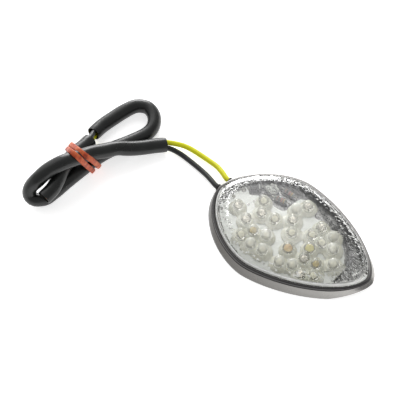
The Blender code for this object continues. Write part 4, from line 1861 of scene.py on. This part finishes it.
@dataclass
class Led:
    """A round epoxy LED: flanged domed body, lead frame with its cup, gel and bond wire."""

    number: int
    x: float
    y: float
    lean: float
    side: float
    die: Die
    base_z: float = 3.75
    flange: float = 2.7
    flange_thick: float = 0.9
    radius: float = 2.4
    height: float = 4.35
    cup_z: float = 1.75
    cup_radius: float = 1.15
    post_x: float = 1.6
    bond_radius: float = 0.05
    dome_rise: float = 0.72
    steps: int = 36

    def body_profile(self) -> list[tuple[float, float]]:
        """Profile of the epoxy body, from its top down.

        Returns:
            Points of the profile.
        """
        shoulder = self.height - self.radius * self.dome_rise
        dome = [
            (self.radius * math.sin(a), shoulder + self.radius * self.dome_rise * math.cos(a))
            for a in (math.radians(9 * k) for k in range(11))
        ]
        return [
            *dome, (self.radius, self.flange_thick + 0.12), (self.radius + 0.08, self.flange_thick),
            (self.flange - 0.08, self.flange_thick), (self.flange, self.flange_thick - 0.08),
            (self.flange, 0.08), (self.flange - 0.08, 0.0), (0, 0),
        ]

    def place(self) -> Matrix:
        """Where the LED stands, with its lean.

        Returns:
            The transform of its parts.
        """
        dip = self.flange * math.sin(math.radians(self.lean))
        axis = Matrix.Rotation(math.radians(self.side), 4, "Z")
        tilt = axis @ Matrix.Rotation(math.radians(self.lean), 4, "Y") @ axis.inverted()
        spin = Matrix.Rotation(self.number * 0.9, 4, "Z")
        return Matrix.Translation(Vector((self.x, self.y, self.base_z + dip)) * MM) @ tilt @ spin

    def frame_mesh(self) -> bmesh.types.BMesh:
        """Lead frame: a post with the cup on top, a second post, the gel and the bond wire.

        Returns:
            A bmesh in millimetres, with the gel in its second slot.
        """
        z, wide = self.cup_z, self.cup_radius
        cup = [(wide, z), (wide + 0.02, z - 0.25), (wide * 0.8, z - 0.95), (0.0, z - 0.95)]
        bowl = [(wide * 0.6, z - 0.42), (wide * 0.9, z - 0.04), *cup]
        gel = [(0, z + 0.1), (wide * 0.5, z + 0.05), (wide * 0.86, z - 0.05),
               (wide * 0.6, z - 0.4), (0, z - 0.42)]
        whole = bmesh.new()
        for profile, slot in ((bowl, 0), (gel, 1)):
            part = turned(profile, 20)
            for face in part.faces:
                face.material_index = slot
            absorb(whole, part)
        for x, top in ((0.0, z - 0.9), (self.post_x, z + 0.15)):
            post = bmesh.new()
            shape = Matrix.Translation((x, 0, top / 2)) @ Matrix.Diagonal((0.5, 0.5, top - 0.1, 1))
            bmesh.ops.create_cube(post, size=1.0, matrix=shape)
            bmesh.ops.bevel(post, geom=post.edges[:], offset=0.07, segments=2, affect="EDGES")
            absorb(whole, post)
        arc = [Vector((self.post_x * t, 0, z + 0.05 + 0.5 * math.sin(math.pi * t))) for t in
               (k / 10 for k in range(11))]
        absorb(whole, rod(arc, self.bond_radius, 6, Vector((0, 1, 0))))
        return whole

    def build(self) -> None:
        """Makes the LED's body and its lead frame."""
        gel, epoxy = self.die.value
        name = f"led_{self.number:02d}"
        body = finished(turned(self.body_profile(), self.steps), f"{name}_body", [epoxy.look()], 30)
        body.matrix_world = self.place()
        settle(body, "led_epoxy", name)
        inside = finished(self.frame_mesh(), f"{name}_frame", [Stuff.TINNED.look(), gel.look()])
        inside.matrix_world = self.place()
        settle(inside, "solder")


@dataclass
class AxialPart:
    """A leaded component that lies on its side, with its leads bent down to the board."""

    name: str
    at: Point
    heading: float
    length: float
    radius: float
    lead: float
    reach: float
    coat: Stuff
    slot: str
    node: str
    pinch: float = 0.0

    def body_profile(self) -> list[tuple[float, float]]:
        """Profile of the coated body, along its own length.

        Returns:
            Points of the profile.
        """
        half = self.length / 2
        upper = [(0, half), (self.radius * 0.8, half), (self.radius, half - 0.4),
                 (self.radius, half * 0.55), (self.radius - self.pinch, half * 0.4)]
        return rounded(upper + [(r, -z) for r, z in reversed(upper)], 0.3)

    def place(self) -> Matrix:
        """Where the component lies."""
        turn = Matrix.Rotation(math.radians(self.heading), 4, "Z")
        lying = Matrix.Rotation(math.pi / 2, 4, "Y")
        return Matrix.Translation(Vector(self.at) * MM) @ turn @ lying

    def build(self) -> None:
        """Makes the body and its two leads."""
        body = finished(turned(self.body_profile(), 32), self.name, [self.coat.look()], 30)
        body.matrix_world = self.place()
        settle(body, self.slot, self.node)
        whole = bmesh.new()
        for way in (1, -1):
            half = way * self.length / 2
            tip = half + way * self.reach
            line = [Vector((0, 0, half * 0.9)), Vector((0, 0, half + way * self.reach * 0.45)),
                    Vector((0.12, 0, tip - way * 0.25)), Vector((0.55, 0, tip)),
                    Vector((1.1, 0, tip + way * 0.03))]
            absorb(whole, rod(evenly(line, 0.15), self.lead, 12, Vector((0, 1, 0))))
        leads = finished(whole, f"{self.name}_leads", [Stuff.TINNED.look()])
        leads.matrix_world = self.place()
        settle(leads, "solder")


@dataclass
class GlueBead:
    """A lump of clear glue with trapped bubbles that fixes the leads to the tray."""

    at: tuple[float, float] = (-20.7, 15.5)
    floor: float = 1.5
    lumps: int = 9
    bubbles: int = 22
    bubble_radius: tuple[float, float] = (0.22, 0.5)
    grain: float = 0.3
    easing: int = 4
    seed: int = 5

    def build(self) -> None:
        """Makes the lump from balls run together, and the bubbles in it."""
        dice = random.Random(self.seed)
        whole = bmesh.new()
        spots = []
        for k in range(self.lumps):
            angle = 2 * math.pi * k / self.lumps
            reach = 0.0 if k == 0 else dice.uniform(1.0, 2.0)
            spot = Vector((self.at[0] + reach * math.cos(angle) * 1.25,
                           self.at[1] + reach * math.sin(angle) * 0.8, self.floor + 1.5))
            size = 2.1 if k == 0 else dice.uniform(1.1, 1.6)
            spots.append((spot, size))
            bmesh.ops.create_uvsphere(
                whole, u_segments=20, v_segments=12, radius=size, matrix=Matrix.Translation(spot)
            )
        lump = finished(whole, "glue_lump", [Stuff.GLUE.look()])
        mesh = melted(lump, self.grain, self.easing)
        for vert in mesh.vertices:
            vert.co.z = max(vert.co.z, self.floor * MM)
        mesh.shade_smooth()
        settle(lump, "clear_glue", "glue_bead")
        air = bmesh.new()
        for _ in range(self.bubbles):
            spot, size = dice.choice(spots)
            way = Vector((dice.uniform(-1, 1), dice.uniform(-1, 1), dice.uniform(0, 0.9)))
            bmesh.ops.create_uvsphere(
                air, u_segments=16, v_segments=10, radius=dice.uniform(*self.bubble_radius),
                matrix=Matrix.Translation(spot + way * size * 0.42),
            )
        settle(finished(air, "glue_bubbles", [Stuff.AIR.look()]), "clear_glue")


WIDE_CUP = 1.45
COMPONENTS = (
    AxialPart("diode_body", (-27.7, 12.1, 3.0), 45, 5.2, 1.3, 0.35, 1.2, Stuff.DIODE,
              "black_epoxy", "reverse_diode"),
    AxialPart("resistor_1_body", (-13.6, 18.4, 3.0), -6, 6.0, 1.15, 0.3, 1.6, Stuff.RESISTOR,
              "resistor_lacquer", "resistor_1", 0.2),
    AxialPart("resistor_2_body", (-14.6, 13.0, 3.0), 8, 6.0, 1.15, 0.3, 1.6, Stuff.RESISTOR,
              "resistor_lacquer", "resistor_2", 0.2),
)


@dataclass
class LampInside:
    """Everything on and round the board."""

    joint_z: float = 2.68
    bush_z: float = 3.1
    bush_half: float = 2.05
    wires: tuple[tuple[str, float, float, float], ...] = (
        ("black", -33.6, -39.8, 2.0), ("yellow", -31.4, -37.7, 7.8),
    )

    def build(self) -> None:
        """Makes the board, resin, LEDs, components, joints and bushes."""
        Board().build()
        ResinPool().build()
        for number, (x, y, lean, side) in enumerate(LEDS, start=1):
            die = DIES.get(number, Die.PALE)
            led = Led(number, x, y, lean, side, die)
            if die in (Die.YELLOW, Die.ORANGE):
                led.cup_radius = WIDE_CUP
            led.build()
        for component in COMPONENTS:
            component.build()
        GlueBead().build()
        for colour, joint_x, _, y in self.wires:
            self.solder_joint(colour, joint_x, y)
        for colour, _, bush_x, y in self.wires:
            self.bush(colour, bush_x, y)

    def solder_joint(self, colour: str, x: float, y: float) -> None:
        """Makes the cone of solder that holds one wire.

        Args:
            colour: Which wire it holds.
            x: Place along the lamp.
            y: Place across it.
        """
        profile = rounded([(0, 1.2), (0.5, 1.1), (0.72, 0.7), (0.95, 0.3), (1.1, 0.08),
                           (1.2, 0.0), (0, 0)], 0.2)
        bm = turned(profile, 28)
        bmesh.ops.translate(bm, vec=(x, y, self.joint_z), verts=bm.verts)
        settle(finished(bm, f"solder_{colour}", [Stuff.SOLDER.look()]), "solder",
               f"solder_joint_{colour}")

    def bush(self, colour: str, x: float, y: float) -> None:
        """Makes a soft bush with a rounded lip at each end.

        Args:
            colour: Which wire it goes round.
            x: Place along the lamp.
            y: Place across it.
        """
        half = self.bush_half
        profile = [(1.34, half - 0.12), (1.44, half), (1.66, half), (1.76, half - 0.12),
                   (1.76, half - 0.35), (1.62, half - 0.5)]
        outer = profile + [(r, -z) for r, z in reversed(profile)]
        skin = Skin()
        turn = Matrix.Translation((x, y, self.bush_z)) @ Matrix.Rotation(math.pi / 2, 4, "Y")
        for radius, z in outer:
            angles = (2 * math.pi * i / 32 for i in range(32))
            skin.row([turn @ Vector((radius * math.cos(a), radius * math.sin(a), z))
                      for a in angles])
        piece = finished(skin.bmesh(capped=False, joined=True), f"bush_{colour}",
                         [Stuff.BUSH.look()])
        settle(piece, "black_rubber", f"wire_bush_{colour}")


def main() -> None:
    """Builds the set, then the leads, then the lamp from the outside in."""
    logging.basicConfig(level=logging.INFO, format="%(name)s: %(message)s")
    Studio().build()
    Harness().build()
    Housing().build()
    FoamPad().build()
    LampInside().build()
    LensSeal().build()
    LensCover().build()


if __name__ == "__main__":
    main()
